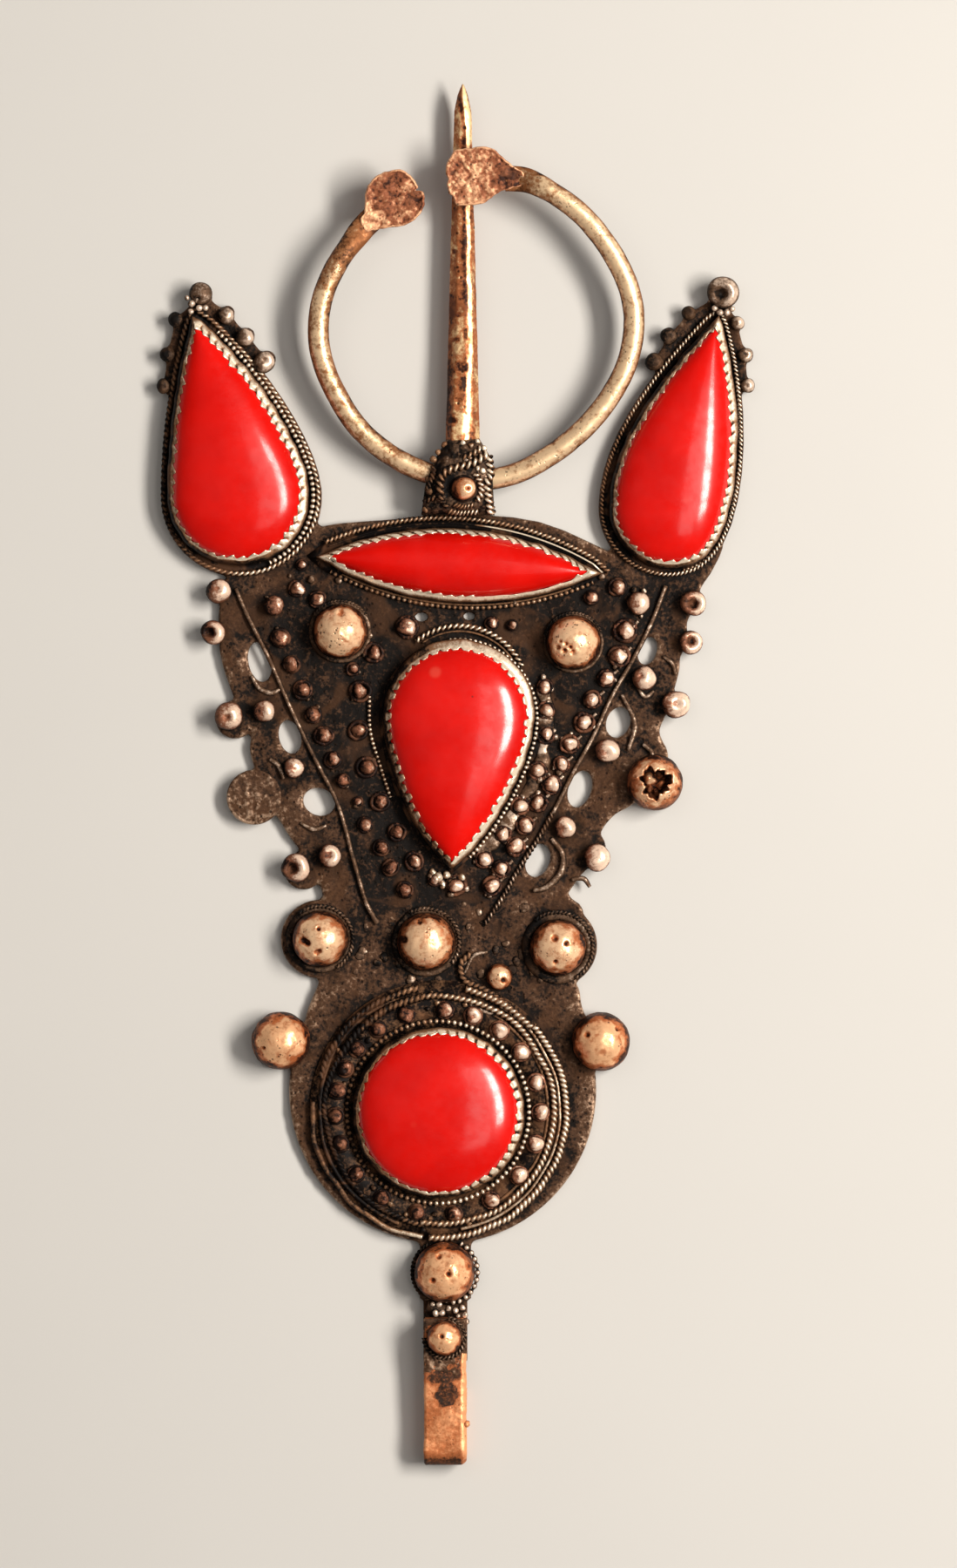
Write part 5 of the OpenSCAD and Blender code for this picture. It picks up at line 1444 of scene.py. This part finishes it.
# The strip: a rectangular section carried up its leg, along its top, round its bend and back
def strip():
    f = stripForm
    t, bend, corner = f["thickness"], f["height"] / 2, f["corner"]
    r = bend - t / 2
    legY, topZ, bendY = f["startY"] - t / 2, f["height"] - t / 2, f["endY"] + bend
    line = [(legY, level["plate"] + 0.02), (legY, f["height"] - t - 0.25)]
    line += [(legY - corner + corner * np.cos(a), topZ - corner + corner * np.sin(a))
             for a in np.radians(np.linspace(0, 90, 8))]
    line += [(bendY + 0.01, topZ)]
    line += [(bendY + r * np.cos(a), bend + r * np.sin(a)) for a in np.radians(np.linspace(90, 270, 26))]
    line += [(f["hookY"], t / 2)]
    line = evenly(np.array(line), 0.12)
    ahead = np.gradient(line, axis=0)
    ahead /= np.linalg.norm(ahead, axis=1)[:, None]
    up = np.stack([ahead[:, 1], -ahead[:, 0]], -1)
    # section: top and bottom finely divided, the right shoulder bevelled
    along = np.linspace(-1, 0.76, 26)
    section = np.array([*[(k, 1 - 0.5 * max(0, -k - 0.93) / 0.07) for k in along], (0.84, 0.82), (0.93, 0.5),
                        (1.0, 0.1), (1.0, -0.6), (0.95, -1), *[(k, -1) for k in along[::-2]],
                        (-1, -0.5), (-1, 0)])
    across, depth = section[:, 0] * f["width"] / 2, section[:, 1] * t / 2
    x = f["x"] + across * np.ones((len(line), 1))
    y = line[:, :1] + up[:, :1] * depth
    z = line[:, 1:] + up[:, 1:] * depth
    points = np.stack([x, y, z], -1)
    rough = layered(points, 51, (3.0, 0.05), (0.9, 0.025), (0.45, 0.012))
    points[..., 0] += rough * np.sign(across) * 0.8
    points[..., 2] += rough * (np.abs(points[..., 2]) > 0.95)
    shoulder = smoothstep(section[:, 0], 0.72, 0.8)
    leftRim = smoothstep(-section[:, 0], 0.8, 0.97)
    # the right shoulder is paler, partly as a rubbed edge, partly as a painted highlight where it faces the
    # light
    wear = 0.58 + 0.55 * shoulder + 0.1 * leftRim + rough * 1.5 + ripple(points, 4.0, 54) * 0.06
    upper = points[..., 2] > 2
    covered = smoothstep(points[..., 1] + ripple(points, 1.5, 55) * 0.3, -66.5, -65.7) * upper
    wear = wear - 0.42 * covered * (1 - shoulder)
    wear = wear - 0.65 * smoothstep(-points[..., 1] + rough * 4, 73.3, 75.0)
    ragged = 1 + ripple(points, 1.3, 56) * 0.16
    for px, py, wide, long, amount in stripStains:
        far = np.hypot((points[..., 0] - px) / wide, (points[..., 1] - py) / long) * ragged
        wear = wear - amount * (1 - smoothstep(far, 0.8, 1.05)) * upper
    shape = Shape().grid(points[:, ::-1], wear[:, ::-1], capFirst=True, capLast=True)
    lump(shape, (1.2, -70.7), 0.35, 3.2, 63, 0.8, rough=0.2)
    shape.make("strip_body", "brooch", "copper_strip", silver["strip"], "chain_strip")


# Solder grains between the tail's domes: x, y, radius
tailGrains = [(-1.9, -57.8, 0.32), (-2.25, -58.75, 0.38), (-1.55, -58.7, 0.36), (-0.85, -58.2, 0.33),
              (-0.1, -58.4, 0.36), (0.65, -58.1, 0.36), (0.9, -58.9, 0.36), (-0.35, -57.5, 0.3),
              (0.35, -57.4, 0.25), (1.1, -59.6, 0.3), (-2.6, -57.7, 0.26), (-1.1, -57.3, 0.26),
              (0.2, -59.0, 0.24)]


# A dull sheet of solder over the strip's top, with a ragged lower edge: a flat box whose top is lumpy
def solderSheet():
    f = stripForm
    across = np.linspace(-1, 1, 40)
    low = -65.3 + ripple(np.stack([across * 2.3, np.zeros(40)], -1), 1.6, 57) * 0.3
    low = low + 2.1 * smoothstep(across, 0.6, 0.8)
    share = np.linspace(0, 1, 50)[:, None]
    x = f["x"] + across * (f["width"] / 2 + 0.03) * np.ones((50, 1))
    y = low * (1 - share) + (f["startY"] - 0.05) * share
    top = np.stack([x, y, np.full(x.shape, f["height"])], -1)
    edge = np.minimum((1 - np.abs(across)) * 6, np.minimum(share, 1 - share) * 12).clip(0, 1)
    lumpy = 0.1 + ripple(top, 1.2, 58) * 0.05 + ripple(top, 0.5, 59) * 0.03
    top[..., 2] += np.where(edge > 0, lumpy * edge, 0) - 0.04
    rim = np.concatenate([top[0], top[1:, -1], top[-1, -2::-1], top[-2:0:-1, 0]])
    foot = rim - [0, 0, 0.3]
    shape = Shape().grid(top, 0.42 + ripple(top, 1.0, 60) * 0.2, wrapCols=False)
    shape.grid(np.stack([foot, rim]), 0.3, capFirst=True)
    shape.make("solder_sheet", "brooch", "plate_patina", silver["plate"])


# Wires and grains between the round setting and the strip
def tailTrim():
    shape, large, small = Shape(), domes["tail_large"]["centre"], domes["tail_small"]["centre"]
    beads(shape, arcPath(large, 3.6, -62, 60, 1.75), 0.3, 0.73, wear=1.1)
    # the ropes get painted light on their right and painted shade on their left
    rope(shape, arcPath(large, 3.5, 120, 250, 1.4), 0.26, 0.9, wear=paintedLightRound(large, 0.2))
    for k, (x, y, r) in enumerate(tailGrains):
        lump(shape, (x, y), r, 2.2 + 0.3 * r, 170 + k, 0.95, 16, 11, rough=0.16)
    tube(shape, raised(through([(-3.2, -57.9), (-1.2, -58.4), (0.9, -57.9)], 12), 1.7), 0.62, wear=0.1)
    rope(shape, arcPath(small, 2.2, 180, 350, 3.75), 0.3, 0.9, wear=paintedLightRound(small, 0.5, 0.65))
    rope(shape, arcPath(small, 2.25, -10, 80, 3.6), 0.24, 0.9, wear=0.5)
    shape.make("tail_ropes", "brooch", "worn_silver", silver["wire"])


strip()
tailTrim()
solderSheet()

print("stage: studio")

# The studio: what the camera looks at, how wide its view is, how far away it is, and the floor's colour.
# Lights: name, place, size along the brooch and across, power, colour, and whether they show in the metal
studio = {"centre": (2.42, -0.95), "span": 171.0, "distance": 900.0, "floor": (0.62, 0.6, 0.57), "lights": [
    ("key", (400, 70, 475), (400, 120), 5.4, (1.0, 0.95, 0.88), True),
    ("band", (245, 0, 605), (560, 210), 0.7, (1.0, 0.95, 0.9), True),
    ("fill", (-200, 150, 650), (600, 600), 0.75, (1.0, 0.96, 0.92), False)]}


def studioFloor():
    half = 3.0  # metres
    mesh = bpy.data.meshes.new("floor")
    corners = [(-half, -half, 0), (half, -half, 0), (half, half, 0), (-half, half, 0)]
    mesh.from_pydata(corners, [], [(0, 1, 2, 3)])
    floor = bpy.data.objects.new("floor", mesh)
    bpy.context.scene.collection.objects.link(floor)
    floor.location.z = -0.00002
    paint = Paint("floor_paint")
    shade = paint.mix(paint.noise(40, 2), studio["floor"], tuple(c * 0.96 for c in studio["floor"]))
    floor.data.materials.append(paint.finish({"Roughness": 0.8, "Specular IOR Level": 0.2}, Base_Color=shade))


def softbox(name, place, size, power, colour, mirrored):
    light = bpy.data.lights.new(name, "AREA")
    light.shape, light.size, light.size_y = "RECTANGLE", size[0] * toMetres, size[1] * toMetres
    light.energy, light.color = power, colour
    made = bpy.data.objects.new(name, light)
    bpy.context.scene.collection.objects.link(made)
    made.location = np.array(place) * toMetres
    aim = -made.location
    made.rotation_mode = "QUATERNION"
    made.rotation_quaternion = aim.to_track_quat("-Z", "Y")
    made.visible_glossy = mirrored


def studioLights():
    for light in studio["lights"]:
        softbox(*light)
    world = bpy.data.worlds.new("studio")
    world.use_nodes = True
    world.node_tree.nodes["Background"].inputs[0].default_value = (1.0, 0.94, 0.88, 1)
    world.node_tree.nodes["Background"].inputs[1].default_value = 0.1
    bpy.context.scene.world = world
    bpy.context.scene.view_settings.view_transform = "Standard"  # keeps the stones' deep red


def studioCamera():
    camera = bpy.data.cameras.new("camera")
    camera.lens = camera.sensor_width * studio["distance"] / studio["span"]
    camera.clip_start, camera.clip_end = 0.05, 10
    made = bpy.data.objects.new("camera", camera)
    bpy.context.scene.collection.objects.link(made)
    made.location = np.array([*studio["centre"], studio["distance"] + 3]) * toMetres
    bpy.context.scene.camera = made


studioFloor()
studioLights()
studioCamera()
